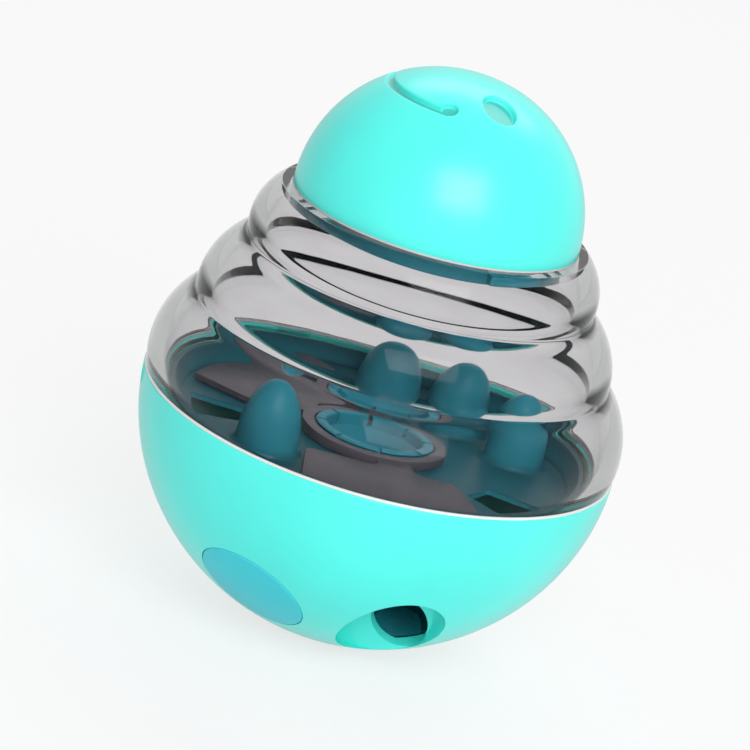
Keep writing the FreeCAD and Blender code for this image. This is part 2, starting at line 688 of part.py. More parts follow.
def make_cap_neck():
    """Closing disc of the cap, with the neck and its three lugs under it."""
    disc_r = CAP_R - CAP_WALL - DISC_GAP
    z1 = CAP_RIM + CAP_DISC
    low = SHOULDER - CAP_NECK_LONG
    inside = CAP_NECK_R - CAP_NECK_WALL
    points = [(0, CAP_RIM), (inside, CAP_RIM), (inside, low), (CAP_NECK_R, low), (CAP_NECK_R, CAP_RIM),
              (disc_r, CAP_RIM), (disc_r - DISC_GAP / 2, z1), (0, z1), (0, CAP_RIM)]
    neck = spin(polyline(points))
    lug_low = low + CAP_LUG_RISE
    inside = CAP_NECK_R - CAP_NECK_WALL / 4
    for i in range(CAP_LUGS):
        azimuth = cap_lug_azimuth(i)
        neck = neck.fuse(sector(inside, CAP_LUG_R, lug_low, lug_low + CAP_LUG_THICK, azimuth, CAP_LUG_HALF))
    return neck


def save(name, shape):
    """Write a sub-part and read it back to see that it is whole."""
    if len(shape.Solids) == 1:
        shape = shape.removeSplitter().Solids[0]
    path = "parts/" + name + ".step"
    shape.exportStep(path)
    back = Part.read(path)
    whole = shape.isValid() and back.isValid() and abs(back.Volume - shape.Volume) < 0.01 * shape.Volume
    box = back.BoundBox
    print(name, "whole", whole, "solids", len(back.Solids), "cm3", round(back.Volume / 1000, 2),
          "z", round(box.ZMin, 2), round(box.ZMax, 2))
    if not whole:
        raise RuntimeError(name + " is not a whole solid")


def main():
    os.makedirs("parts", exist_ok=True)
    save("bowl", make_bowl())
    save("weight", make_weight())
    save("weight_cover", make_weight_cover())
    save("weight_screws", make_weight_screws())
    save("outlet_plug", make_plug())
    save("tray", make_tray())
    save("gate_plate", make_gate())
    save("seam_seal", make_seam_seal())
    save("shell", make_shell())
    save("cap_seal", make_cap_seal())
    save("cap_dome", make_cap_dome())
    save("cap_neck", make_cap_neck())


main()
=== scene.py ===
"""Treat ball: looks for a weighted bowl, a clear ribbed hopper and a dome cap.

Metres, +Z up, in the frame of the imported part. Azimuth 0 looks along -Y and grows towards +X.
"""
import bpy
import bmesh
import math
from mathutils import Matrix, Vector
from bpy.props import FloatProperty, FloatVectorProperty, IntProperty, PointerProperty


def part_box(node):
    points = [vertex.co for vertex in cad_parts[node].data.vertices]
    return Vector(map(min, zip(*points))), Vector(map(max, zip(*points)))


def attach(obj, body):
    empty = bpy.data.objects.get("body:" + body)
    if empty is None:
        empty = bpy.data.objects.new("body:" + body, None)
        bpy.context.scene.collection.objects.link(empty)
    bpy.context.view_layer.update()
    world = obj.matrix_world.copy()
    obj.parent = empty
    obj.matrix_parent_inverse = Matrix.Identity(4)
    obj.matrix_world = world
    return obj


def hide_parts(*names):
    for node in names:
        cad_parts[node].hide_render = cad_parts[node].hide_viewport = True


bl_info = {
    "name": "Treat ball",
    "version": (1, 0, 0),
    "blender": (4, 5, 0),
    "location": "3D View > Sidebar > Treat ball",
    "description": "Builds the pieces, materials and studio of a tumbling treat ball",
    "category": "Object",
}

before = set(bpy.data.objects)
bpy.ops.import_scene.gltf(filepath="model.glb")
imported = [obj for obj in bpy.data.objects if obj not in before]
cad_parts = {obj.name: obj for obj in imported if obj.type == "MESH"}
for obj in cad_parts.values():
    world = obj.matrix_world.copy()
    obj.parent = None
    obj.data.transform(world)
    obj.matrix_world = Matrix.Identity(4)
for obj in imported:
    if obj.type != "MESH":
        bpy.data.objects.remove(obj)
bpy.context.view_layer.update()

MM = 0.001
UP = Vector((0, 0, 1))
ROUND_STEPS = 4

# Places read from the frame
SEAM = (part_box("seam_seal")[0].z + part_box("seam_seal")[1].z) / 2
SEAL_HALF = (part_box("seam_seal")[1].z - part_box("seam_seal")[0].z) / 2
SEAM_SEAL_WIDE = 1.7 * MM
CAP_SEAL_WIDE = 1.0 * MM
BOWL_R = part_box("seam_seal")[1].x + 0.1 * MM
CENTRE = UP * SEAM
CAP_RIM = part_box("cap_dome")[0].z
CAP_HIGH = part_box("cap_dome")[1].z - CAP_RIM
CAP_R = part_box("cap_dome")[1].x
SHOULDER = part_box("cap_seal")[0].z
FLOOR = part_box("gate_plate")[0].z - 0.3 * MM

# Bowl
BOWL_DEEP = 53.1 * MM
BOWL_POWER = 1.968
BOWL_WALL = 2.6 * MM
FLAT_TOP = 3.2 * MM
LEDGE_R = 50.0 * MM
LEDGE_THICK = 1.8 * MM
NOTCH_AZ = -80.0
NOTCH_R = 5.5 * MM
NOTCH_OUT = 4.4 * MM
NOTCH_DROP = 2.0 * MM
GROOVE_R = 50.0 * MM
GROOVE_LOW = SEAM - 6.1 * MM
GROOVE_HIGH = SEAM - 3.5 * MM
GROOVE_GAP = 0.4 * MM
GROOVE_PLAY = 1.0

# Outlet and plug
OUTLET_AZ = 24.5
PLUG_AZ = -26.0
PLUG_POLAR = 48.2
POCKET_R = 11.2 * MM
POCKET_HIGH = SEAM - 36.0 * MM
POCKET_SIDE = -0.8 * MM
POCKET_WALL = 2.0 * MM
POCKET_START = 5.0 * MM
POCKET_END = 75.0 * MM
POCKET_EDGE = 1.2 * MM
HOLE_AZ = -8.0
HOLE_TILT = -15.0
HOLE_R = 6.6 * MM
HOLE_PLACE = Vector((16.6 * MM, -25.4 * MM, SEAM - 37.0 * MM))
HOLE_RISE = 25.0
PLUG_R = 13.2 * MM
PLUG_CAP = 2.3 * MM
PLUG_PROUD = 0.15 * MM
PLUG_STEM_R = 7.3 * MM
PLUG_STEM_LONG = 9.0 * MM
PLUG_WALL = 1.6 * MM
PLUG_GAP = 0.15 * MM
PLUG_EDGE = 0.5 * MM
COLLAR_WALL = 2.4 * MM
COLLAR_LONG = 7.0 * MM

# Clear shell: each rib has its section's middle, as distance from the axis and height, and its radius
RIBS = [(35.5 * MM, SEAM + 4.9 * MM, 19.7 * MM), (31.0 * MM, SEAM + 20.8 * MM, 17.2 * MM),
        (27.6 * MM, SEAM + 38.4 * MM, 12.8 * MM)]
RIB_STEPS = 28
NECK_FILLET = 0.9 * MM
SHELL_WALL = 4.0 * MM
INNER_FILLET = 9.0 * MM
ROOT_R = 53.0 * MM
SKIRT_WALL = 2.0 * MM
SKIRT_R = 51.6 * MM
SKIRT_BOTTOM = SEAM - 6.3 * MM
MOUTH_R = 30.0 * MM
MOUTH_THICK = 1.6 * MM
SHELL_LUGS = 4
SHELL_LUG_HALF = 4.5
SHELL_LUG_R = 53.0 * MM
SHELL_LUG_START = 30.0
SHELL_LUG_LOW = SEAM - 5.7 * MM
SHELL_LUG_HIGH = SEAM - 3.9 * MM
SHELL_TURN = 20.0
# Painted shade in the shell's folds: where its mask lies and how far it reaches
FOLD_IN = 1.5 * MM
FOLD_NEAR = 3.5 * MM
FOLD_FAR = 5.0 * MM
SHELL_IOR = 1.46
GLOSS_FAINT = (0.15, 0.15, 0.15)
GLOSS_FULL = (0.95, 0.95, 0.95)
INSIDE_FAINT = (0.1, 0.1, 0.1)
INSIDE_GLOSS = (0.68, 0.7, 0.69)
# Nearly black inside gloss in the folds, a painted dark band
FOLD_SHADE_GLOSS = (0.012, 0.02, 0.018)

# Cap
CAP_POWER = 2.044
CAP_WALL = 2.2 * MM
CAP_CROWN = 3.6 * MM
CAP_LUGS = 3
CAP_LUG_HALF = 12.0
CAP_LUG_PLAY = 2.0
CAP_LUG_START = 40.0
CAP_LUG_R = 31.2 * MM
CAP_LUG_THICK = 1.8 * MM
CAP_NECK_R = 29.3 * MM
CAP_NECK_LONG = 4.8 * MM
CAP_NECK_WALL = 2.0 * MM
CAP_DISC = 1.8 * MM
SMILE_R = 18.1 * MM
SMILE_MIDDLE = -90.0
SMILE_HALF = 78.0
SMILE_WIDE = 1.7 * MM
SMILE_DEEP = 1.1 * MM
SMILE_END_R = 1.8 * MM
EYE_R = 13.8 * MM
EYE_OFFSET = 59.0
EYE_LONG = 4.5 * MM
EYE_WIDE = 3.9 * MM
EYE_DEEP = 1.5 * MM
LIP_WIDE = 0.5 * MM
LIP_DEEP = 0.08 * MM
# Painted shade in the hollows of the arc and the eyes
LINE_SHADE = 0.85
EYE_SHADE = 0.75
FACE_FROM = 0.3
DOME_STEPS = 192

# Tray and gate plate: each post has an azimuth, a distance from the axis, a radius and a height
TRAY_WALL = 1.5 * MM
TRAY_R = 51.2 * MM
TRAY_RIM_R = 49.2 * MM
RIM_WALL = 1.3 * MM
RIM_SLOPE = 2.8 * MM
HUB_R = 13.2 * MM
HUB_HOLE_R = 11.2 * MM
HUB_TOP = FLOOR + 3.4 * MM
HUB_LIP = 0.8 * MM
HUB_SLITS = 8
SLIT_START = 9.0
SLIT_HALF = 0.5 * MM
SLIT_LOW = FLOOR + 0.7 * MM
DISH_DEEP = 4.6 * MM
POSTS = [(-44.0, 32.5 * MM, 7.2 * MM, 16.5 * MM), (180.0, 33.0 * MM, 8.0 * MM, 17.3 * MM),
         (149.0, 34.0 * MM, 7.7 * MM, 17.3 * MM), (112.0, 35.0 * MM, 7.2 * MM, 16.5 * MM)]
POST_POWER = 2.1
POST_FLARE = 1.3 * MM
WINDOWS = [60.0, -77.0]
WINDOW_HALF = 9.0
WINDOW_IN = 30.0 * MM
WINDOW_OUT = 43.5 * MM
WINDOW_EDGE = 1.2 * MM
FLOOR_SHADE = 0.75
RIM_SHADE = 0.95

# Photograph's camera, and the studio
CAMERA_LENS = 180.1
CAMERA_DISTANCE = 0.85
CAMERA_ELEVATION = 18.32
CAMERA_ROLL = 15.7
CAMERA_AIM = Vector((-3.54 * MM, 0, SEAM + 8.87 * MM))
STUDIO_HALF = 4.0
WORLD_LIGHT = 0.38


def srgb(red, green, blue):
    """Linear colour of an 8-bit colour as seen on a screen."""
    return tuple(((v / 255 + 0.055) / 1.055) ** 2.4 for v in (red, green, blue))


class TreatBallLook(bpy.types.PropertyGroup):
    """Colours and sizes that a user would change."""
    shell_colour: FloatVectorProperty(name="Turquoise", description="Colour of the bowl and the cap",
                                      subtype="COLOR", size=3, default=srgb(84, 249, 238))
    plug_colour: FloatVectorProperty(name="Plug blue", description="Colour of the round plug",
                                     subtype="COLOR", size=3, default=srgb(68, 218, 231))
    # The tray's own teal, made darker as painted shade for the dim light inside the shell
    tray_colour: FloatVectorProperty(name="Tray teal", description="Colour of the tray and its posts",
                                     subtype="COLOR", size=3, default=srgb(40, 122, 137))
    gate_colour: FloatVectorProperty(name="Gate grey", description="Colour of the gate plate",
                                     subtype="COLOR", size=3, default=srgb(74, 71, 77))
    clear_colour: FloatVectorProperty(name="Clear tint", description="Tint of the clear shell",
                                      subtype="COLOR", size=3, default=(0.92, 0.915, 0.92))
    seal_colour: FloatVectorProperty(name="Seal white", description="Colour of the seals",
                                     subtype="COLOR", size=3, default=srgb(234, 234, 233))
    edge_round: FloatProperty(name="Edge rounding", description="Radius of the moulded edges",
                              default=0.35 * MM, min=0.05 * MM, max=1.0 * MM, unit="LENGTH")
    segments: IntProperty(name="Segments", description="Steps round each turned piece", default=256,
                          min=64, max=512)


def look():
    return bpy.context.scene.treat_ball


def polar(azimuth, radius, z=0.0):
    """Point at an azimuth from -Y towards +X."""
    a = math.radians(azimuth)
    return Vector((radius * math.sin(a), -radius * math.cos(a), z))


def around(count, start):
    """Evenly spaced azimuths."""
    return [start + 360.0 / count * i for i in range(count)]


# Outlines in the (r, z) plane

def rounded(points, radius=None):
    """Closed outline whose sharp corners are rounded, with a support point beside each arc.

    Each point is (r, z) for a corner or (r, z, 0) for a point of a curve, which stays as it is."""
    radius = radius or look().edge_round
    result = []
    count = len(points)
    for i, point in enumerate(points):
        here = Vector(point[:2])
        if len(point) == 3 or here.x < 1e-6:
            result.append(here)
            continue
        before = Vector(points[i - 1][:2]) - here
        after = Vector(points[(i + 1) % count][:2]) - here
        angle = before.angle(after)
        reach = min(radius / math.tan(angle / 2), 0.42 * before.length, 0.42 * after.length)
        size = reach * math.tan(angle / 2)
        start = here + before.normalized() * reach
        end = here + after.normalized() * reach
        centre = here + (before.normalized() + after.normalized()).normalized() * size / math.sin(angle / 2)
        support = min(size * 0.5, 0.05 * before.length, 0.05 * after.length)
        result.append(start + before.normalized() * support)
        a0 = start - centre
        a1 = end - centre
        for k in range(ROUND_STEPS + 1):
            mix = a0.lerp(a1, k / ROUND_STEPS)
            result.append(centre + mix.normalized() * size)
        result.append(end + after.normalized() * support)
    return [(p.x, p.y) for p in result]


def split_long(points, longest):
    """Outline with its long straight steps divided."""
    result = []
    for a, b in zip(points, points[1:] + points[:1]):
        step = math.hypot(b[0] - a[0], b[1] - a[1])
        count = max(1, math.ceil(step / longest))
        on_axis = a[0] < 1e-6 and b[0] < 1e-6
        for k in range(1 if on_axis else count):
            result.append((a[0] + (b[0] - a[0]) * k / count, a[1] + (b[1] - a[1]) * k / count))
    return result


def round_curve(wide, high, power, z0, t_from, t_to, steps):
    """Points of a round form's outline, marked as points of a curve. Below z0 when high is below 0."""
    points = []
    for i in range(steps + 1):
        t = t_from + (t_to - t_from) * i / steps
        r = wide * math.cos(t) ** (2 / power)
        points.append((r if r > 1e-6 else 0.0, z0 + high * math.sin(t) ** (2 / power), 0))
    return points


def round_angle(r, wide, power):
    """Angle on a round form at a radius."""
    return math.acos((r / wide) ** (power / 2))


def round_radius(height, wide, high, power):
    """Radius of a round form at a height."""
    return wide * (1 - (height / high) ** power) ** (1 / power)


def circle_meet(c0, r0, c1, r1):
    """Outer crossing of two circles."""
    between = Vector(c1) - Vector(c0)
    d = between.length
    along = (d * d + r0 * r0 - r1 * r1) / (2 * d)
    off = math.sqrt(r0 * r0 - along * along)
    base = Vector(c0) + between * along / d
    return base + Vector((between.y, -between.x)) * off / d


def arc_points(centre, radius, start, end, steps):
    """Points of a circle's short way from start to end, marked as points of a curve."""
    a0 = math.atan2(start[1] - centre[1], start[0] - centre[0])
    a1 = math.atan2(end[1] - centre[1], end[0] - centre[0])
    while a1 - a0 > math.pi:
        a1 -= 2 * math.pi
    while a0 - a1 > math.pi:
        a1 += 2 * math.pi
    points = []
    for i in range(steps + 1):
        a = a0 + (a1 - a0) * i / steps
        points.append((centre[0] + radius * math.cos(a), centre[1] + radius * math.sin(a), 0))
    return points


def rib_points(offset, fillet, z_start, z_end):
    """Outline along the ribs, moved inwards by offset, with rounded necks, between two heights."""
    low = RIBS[0]
    radius = low[2] - offset
    point = Vector((low[0] + math.sqrt(radius ** 2 - (z_start - low[1]) ** 2), z_start))
    points = []
    for low, high in zip(RIBS, RIBS[1:]):
        r_low = low[2] - offset
        r_high = high[2] - offset
        neck = circle_meet(low[:2], r_low + fillet, high[:2], r_high + fillet)
        below = Vector(low[:2]).lerp(neck, r_low / (r_low + fillet))
        above = Vector(high[:2]).lerp(neck, r_high / (r_high + fillet))
        points += arc_points(low[:2], r_low, point, below, RIB_STEPS)
        points += arc_points(neck, fillet, below, above, RIB_STEPS // 2)[1:-1]
        point = above
    high = RIBS[-1]
    radius = high[2] - offset
    end = (high[0] + math.sqrt(radius ** 2 - (z_end - high[1]) ** 2), z_end)
    return points + arc_points(high[:2], radius, point, end, RIB_STEPS)


# Meshes

def new_object(name, data):
    item = bpy.data.objects.new(name, data)
    bpy.context.scene.collection.objects.link(item)
    return item


def mesh_object(name, verts, faces, edges=()):
    mesh = bpy.data.meshes.new(name)
    mesh.from_pydata(verts, edges, faces)
    return new_object(name, mesh)


def ring(middle, axis, radius, segments):
    """Points round an axis."""
    side = axis.orthogonal().normalized()
    other = axis.cross(side)
    turns = [2 * math.pi * i / segments for i in range(segments)]
    return [middle + (side * math.cos(a) + other * math.sin(a)) * radius for a in turns]


def ring_mesh(name, rings, start=None, end=None, flat_ends=True):
    """Mesh over rings of points. A point closes its end, or else a flat face if those are wanted."""
    segments = len(rings[0])
    verts = [point for points in rings for point in points]
    steps = [(i, (i + 1) % segments) for i in range(segments)]
    faces = []
    for k in range(len(rings) - 1):
        low = k * segments
        faces += [(low + i, low + j, low + segments + j, low + segments + i) for i, j in steps]
    last = len(verts) - segments
    if start is not None:
        faces += [(j, i, len(verts)) for i, j in steps]
        verts.append(start)
    elif flat_ends:
        faces.append(tuple(reversed(range(segments))))
    if end is not None:
        faces += [(last + i, last + j, len(verts)) for i, j in steps]
        verts.append(end)
    elif flat_ends:
        faces.append(tuple(last + i for i in range(segments)))
    return mesh_object(name, verts, faces)


def start_tree(name, result, **inputs):
    """New node tree with named inputs and one result."""
    tree = bpy.data.node_groups.new(name, "GeometryNodeTree")
    for title, kind in inputs.items():
        tree.interface.new_socket(title, in_out="INPUT", socket_type="NodeSocket" + kind)
    tree.interface.new_socket(result, in_out="OUTPUT", socket_type="NodeSocketGeometry")
    return tree, tree.nodes.new("NodeGroupInput")


def end_tree(tree, enter, shape):
    """Pass a tree's shape on to its result, smooth, real and painted."""
    for kind in ("GeometryNodeSetShadeSmooth", "GeometryNodeRealizeInstances", "GeometryNodeSetMaterial"):
        node = tree.nodes.new(kind)
        tree.links.new(shape, node.inputs["Geometry"])
        shape = node.outputs["Geometry"]
    tree.links.new(enter.outputs["Material"], node.inputs["Material"])
    tree.links.new(shape, tree.nodes.new("NodeGroupOutput").inputs[0])
    return tree


def turning_tree():
    """Node tree that turns an outline into a round piece."""
    found = bpy.data.node_groups.get("turned piece")
    if found:
        return found
    tree, enter = start_tree("turned piece", "Piece", Outline="Geometry", Segments="Int", Radius="Float",
                             Material="Material")
    curve = tree.nodes.new("GeometryNodeMeshToCurve")
    circle = tree.nodes.new("GeometryNodeCurvePrimitiveCircle")
    sweep = tree.nodes.new("GeometryNodeCurveToMesh")
    merge = tree.nodes.new("GeometryNodeMergeByDistance")
    merge.inputs["Distance"].default_value = 1e-6
    link = tree.links.new
    link(enter.outputs["Outline"], curve.inputs["Mesh"])
    link(enter.outputs["Segments"], circle.inputs["Resolution"])
    link(enter.outputs["Radius"], circle.inputs["Radius"])
    link(circle.outputs["Curve"], sweep.inputs["Curve"])
    link(curve.outputs["Curve"], sweep.inputs["Profile Curve"])
    link(sweep.outputs["Mesh"], merge.inputs["Geometry"])
    return end_tree(tree, enter, merge.outputs["Geometry"])


def copies_tree():
    """Node tree that sets copies of a piece on the points of a mesh, each with its own turn."""
    found = bpy.data.node_groups.get("copies on points")
    if found:
        return found
    tree, enter = start_tree("copies on points", "Copies", Points="Geometry", Piece="Object",
                             Material="Material")
    info = tree.nodes.new("GeometryNodeObjectInfo")
    turn = tree.nodes.new("GeometryNodeInputNamedAttribute")
    turn.inputs["Name"].default_value = "turn"
    angle = tree.nodes.new("ShaderNodeCombineXYZ")
    spots = tree.nodes.new("GeometryNodeInstanceOnPoints")
    link = tree.links.new
    link(enter.outputs["Points"], spots.inputs["Points"])
    link(enter.outputs["Piece"], info.inputs["Object"])
    link(info.outputs["Geometry"], spots.inputs["Instance"])
    link(turn.outputs["Attribute"], angle.inputs["Z"])
    link(angle.outputs["Vector"], spots.inputs["Rotation"])
    return end_tree(tree, enter, spots.outputs["Instances"])


def run_tree(item, tree, values):
    """Give an object a node tree with named inputs, and turn the result into its plain mesh."""
    modifier = item.modifiers.new(tree.name, "NODES")
    modifier.node_group = tree
    for socket in tree.interface.items_tree:
        if socket.item_type == "SOCKET" and socket.in_out == "INPUT" and socket.name in values:
            modifier[socket.identifier] = values[socket.name]
    return apply_modifiers(item)


def turned(name, outline, paint, segments=None):
    """Round piece from a closed outline of (r, z) points, through the turning tree."""
    circle = 10 * MM
    flat = [(r - circle, -z, 0) for r, z in outline]
    edges = [(i, (i + 1) % len(flat)) for i in range(len(flat))]
    item = mesh_object(name, flat, [], edges)
    values = {"Segments": segments or look().segments, "Radius": circle, "Material": paint}
    return clean(run_tree(item, turning_tree(), values))


def copies(piece, turns, paint):
    """Copies of a piece turned about the upright axis. The first piece is removed."""
    item = mesh_object("copies", [(0, 0, 0)] * len(turns), [])
    turn = item.data.attributes.new("turn", "FLOAT", "POINT")
    for k, angle in enumerate(turns):
        turn.data[k].value = math.radians(angle)
    run_tree(item, copies_tree(), {"Piece": piece, "Material": paint})
    bpy.data.objects.remove(piece)
    return clean(item, 1e-7)


def clean(item, distance=1e-6):
    """Merge doubles, drop faces with no area and point the normals outwards."""
    work = bmesh.new()
    work.from_mesh(item.data)
    bmesh.ops.remove_doubles(work, verts=work.verts, dist=distance)
    bmesh.ops.dissolve_degenerate(work, edges=work.edges, dist=distance)
    loose = [e for e in work.edges if not e.link_faces]
    bmesh.ops.delete(work, geom=loose, context="EDGES")
    bmesh.ops.recalc_face_normals(work, faces=work.faces)
    work.to_mesh(item.data)
    work.free()
    return item


def apply_modifiers(item):
    graph = bpy.context.evaluated_depsgraph_get()
    mesh = bpy.data.meshes.new_from_object(item.evaluated_get(graph))
    item.modifiers.clear()
    item.data = mesh
    return item


def combine(item, tool, operation):
    """Join a tool to an object or cut it away, and remove the tool."""
    modifier = item.modifiers.new(operation, "BOOLEAN")
    modifier.operation = operation
    modifier.solver = "MANIFOLD"
    modifier.object = tool
    apply_modifiers(item)
    bpy.data.objects.remove(tool)


def soften(item, width, angle=40.0, segments=2):
    """Round the edges that are sharper than an angle."""
    modifier = item.modifiers.new("edges", "BEVEL")
    modifier.width = width
    modifier.segments = segments
    modifier.limit_method = "ANGLE"
    modifier.angle_limit = math.radians(angle)
    modifier.use_clamp_overlap = True
    return apply_modifiers(item)


def cylinder_between(start, end, radius, segments, rings):
    """Closed cylinder from one point to another."""
    axis = (end - start).normalized()
    return ring_mesh("tool", [ring(start.lerp(end, k / rings), axis, radius, segments)
                              for k in range(rings + 1)])


def ball(centre, radius, segments, rings):
    """Closed ball with rings round the upright axis."""
    rows = []
    for k in range(1, rings):
        a = math.pi * k / rings - math.pi / 2
        rows.append(ring(centre + UP * math.sin(a) * radius, UP, math.cos(a) * radius, segments))
    return ring_mesh("tool", rows, centre - UP * radius, centre + UP * radius)


def sector_tool(r_in, r_out, z0, z1, azimuth, half, steps=12):
    """Closed part of a ring, centred on an azimuth."""
    verts = []
    for i in range(steps + 1):
        a = azimuth - half + 2 * half * i / steps
        verts += [polar(a, r_in, z0), polar(a, r_out, z0), polar(a, r_out, z1), polar(a, r_in, z1)]
    faces = [(0, 1, 2, 3), tuple(4 * steps + k for k in (3, 2, 1, 0))]
    for i in range(steps):
        for k in range(4):
            m = (k + 1) % 4
            faces.append((4 * i + k, 4 * i + 4 + k, 4 * i + 4 + m, 4 * i + m))
    return clean(mesh_object("tool", verts, faces))


# Materials

class Nodes:
    """A node tree of a material or the world, with short calls that add to it."""

    def __init__(self, tree):
        self.tree = tree
        self.tree.nodes.clear()

    def add(self, kind, **values):
        node = self.tree.nodes.new(kind)
        for name, value in values.items():
            node.inputs[name].default_value = value
        return node

    def link(self, source, target):
        self.tree.links.new(source, target)

    def feed(self, value, target):
        if isinstance(value, bpy.types.NodeSocket):
            self.link(value, target)
        elif isinstance(value, (int, float)):
            target.default_value = value
        else:
            target.default_value = (*value, 1.0)

    def sum(self, operation, a, b):
        """Result of a sum with two numbers or sockets."""
        node = self.add("ShaderNodeMath")
        node.operation = operation
        self.feed(a, node.inputs[0])
        self.feed(b, node.inputs[1])
        return node.outputs[0]

    def spread(self, value, low, high, from_low=0.0, from_high=1.0):
        """Value mapped into a range."""
        node = self.add("ShaderNodeMapRange")
        for socket, number in zip(node.inputs[1:5], (from_low, from_high, low, high)):
            socket.default_value = number
        self.link(value, node.inputs["Value"])
        return node.outputs[0]

    def mix(self, factor, a, b):
        """Colour between a and b, which are colours or sockets."""
        node = self.add("ShaderNodeMix")
        node.data_type = "RGBA"
        self.feed(factor, node.inputs[0])
        self.feed(a, node.inputs[6])
        self.feed(b, node.inputs[7])
        return node.outputs[2]

    def blend(self, factor, a, b):
        """Shader between two shaders."""
        node = self.add("ShaderNodeMixShader")
        self.feed(factor, node.inputs[0])
        self.link(a.outputs[0], node.inputs[1])
        self.link(b.outputs[0], node.inputs[2])
        return node

    def seen(self, ray):
        """1 for rays from the camera, off a gloss or through the clear shell."""
        straight = self.sum("MAXIMUM", ray.outputs["Is Camera Ray"], ray.outputs["Is Glossy Ray"])
        return self.sum("MAXIMUM", straight, ray.outputs["Is Transmission Ray"])


class Paint(Nodes):
    """A material's nodes, with patterns that lie on the piece."""

    def __init__(self, name):
        self.material = bpy.data.materials.new(name)
        self.material.use_nodes = True
        super().__init__(self.material.node_tree)
        self.shader = self.add("ShaderNodeBsdfPrincipled")
        self.output = self.add("ShaderNodeOutputMaterial")
        self.link(self.shader.outputs[0], self.output.inputs["Surface"])
        self.coords = self.add("ShaderNodeTexCoord").outputs["Object"]

    def noise(self, size, detail, roughness=0.5, stretch=None):
        """Noise whose features are about size metres across."""
        node = self.add("ShaderNodeTexNoise", Scale=1 / size, Detail=detail, Roughness=roughness)
        source = self.coords
        if stretch:
            place = self.add("ShaderNodeMapping", Scale=stretch)
            self.link(source, place.inputs["Vector"])
            source = place.outputs[0]
        self.link(source, node.inputs["Vector"])
        return node.outputs["Fac"]

    def section(self):
        """Distance from the upright axis, and height."""
        place = self.add("ShaderNodeSeparateXYZ")
        self.link(self.coords, place.inputs[0])
        along, across = [self.sum("POWER", place.outputs[k], 2.0) for k in (0, 1)]
        return self.sum("SQRT", self.sum("ADD", along, across), 0.0), place.outputs[2]

    def bump(self, height, depth, strength=1.0, below=None):
        """Normal from a height of 0 to 1 that stands for depth metres."""
        node = self.add("ShaderNodeBump", Strength=strength, Distance=depth)
        self.link(height, node.inputs["Height"])
        if below:
            self.link(below, node.inputs["Normal"])
        return node.outputs[0]


def scaled(colour, factor):
    return tuple(min(1.0, c * factor) for c in colour)


def pressed_shade(paint):
    """Painted shade of the places that a piece marks as pressed in."""
    pressed = paint.add("ShaderNodeAttribute")
    pressed.attribute_name = "pressed"
    return paint.spread(pressed.outputs["Fac"], 0.0, 0.7)


def moulded(name, colour, roughness, specular, grain=0.5, shade=pressed_shade):
    """Moulded plastic: faint flow clouds, fine grain, uneven gloss, painted shade along the limbs and
    painted shade in deep places.
    """
    paint = Paint(name)
    clouds = paint.noise(24 * MM, detail=2.0)
    fine = paint.noise(0.7 * MM, detail=4.0)
    hairs = paint.noise(2.2 * MM, detail=5.0, roughness=0.6, stretch=(1.0, 1.0, 9.0))
    tone = paint.mix(paint.spread(clouds, 0.0, 1.0, 0.35, 0.65), scaled(colour, 0.965), scaled(colour, 1.02))
    tone = paint.mix(paint.spread(fine, 0.0, 0.25, 0.62, 0.8), tone, scaled(colour, 0.93))
    # Painted shade: the colour darkens towards black where the surface turns away from the view, along the
    # limbs
    limb_shade = paint.add("ShaderNodeLayerWeight", Blend=0.35)
    tone = paint.mix(paint.spread(limb_shade.outputs["Facing"], 0.0, 0.3, 0.55, 1.0), tone, (0.0, 0.0, 0.0))
    # Painted shade: the colour goes towards a quarter of itself where the shade mask is high
    tone = paint.mix(shade(paint), tone, scaled(colour, 0.25))
    paint.link(tone, paint.shader.inputs["Base Color"])
    worn = paint.spread(hairs, roughness * 0.92, roughness * 1.25, 0.45, 0.75)
    paint.link(worn, paint.shader.inputs["Roughness"])
    normal = paint.bump(fine, 0.02 * MM * grain, 0.6)
    normal = paint.bump(clouds, 0.12 * MM, 0.35, normal)
    paint.link(normal, paint.shader.inputs["Normal"])
    paint.shader.inputs["Specular IOR Level"].default_value = specular
    return paint.material


def floor_shade(paint):
    """Shade of the tray's floor and of its sloping rim, which little light reaches."""
    radius, height = paint.section()
    low = paint.spread(height, FLOOR_SHADE, 0.0, FLOOR + 0.1 * MM, FLOOR + 2.5 * MM)
    low = paint.sum("MULTIPLY", low, paint.spread(height, 0.0, 1.0, FLOOR - 0.4 * MM, FLOOR - 0.1 * MM))
    rim = paint.spread(radius, 0.0, RIM_SHADE, TRAY_RIM_R - 3 * MM, TRAY_RIM_R - MM)
    outside = paint.spread(radius, 0.0, 1.0, HUB_R + 0.5 * MM, HUB_R + 1.5 * MM)
    return paint.sum("MULTIPLY", paint.sum("MAXIMUM", low, rim), outside)


def fold_shade_mask(paint):
    """Mask of painted shade: 1 in the folds between the ribs and 0 away from them."""
    radius, height = paint.section()
    section = paint.add("ShaderNodeCombineXYZ")
    paint.link(radius, section.inputs[0])
    paint.link(height, section.inputs[1])
    nearest = None
    for low, high in zip(RIBS, RIBS[1:]):
        neck = circle_meet(low[:2], low[2], high[:2], high[2])
        gap = paint.add("ShaderNodeVectorMath")
        gap.operation = "DISTANCE"
        gap.inputs[1].default_value = (neck.x - FOLD_IN, neck.y, 0.0)
        paint.link(section.outputs[0], gap.inputs[0])
        found = gap.outputs["Value"]
        nearest = found if nearest is None else paint.sum("MINIMUM", nearest, found)
    return paint.spread(nearest, 1.0, 0.0, FOLD_NEAR, FOLD_FAR)


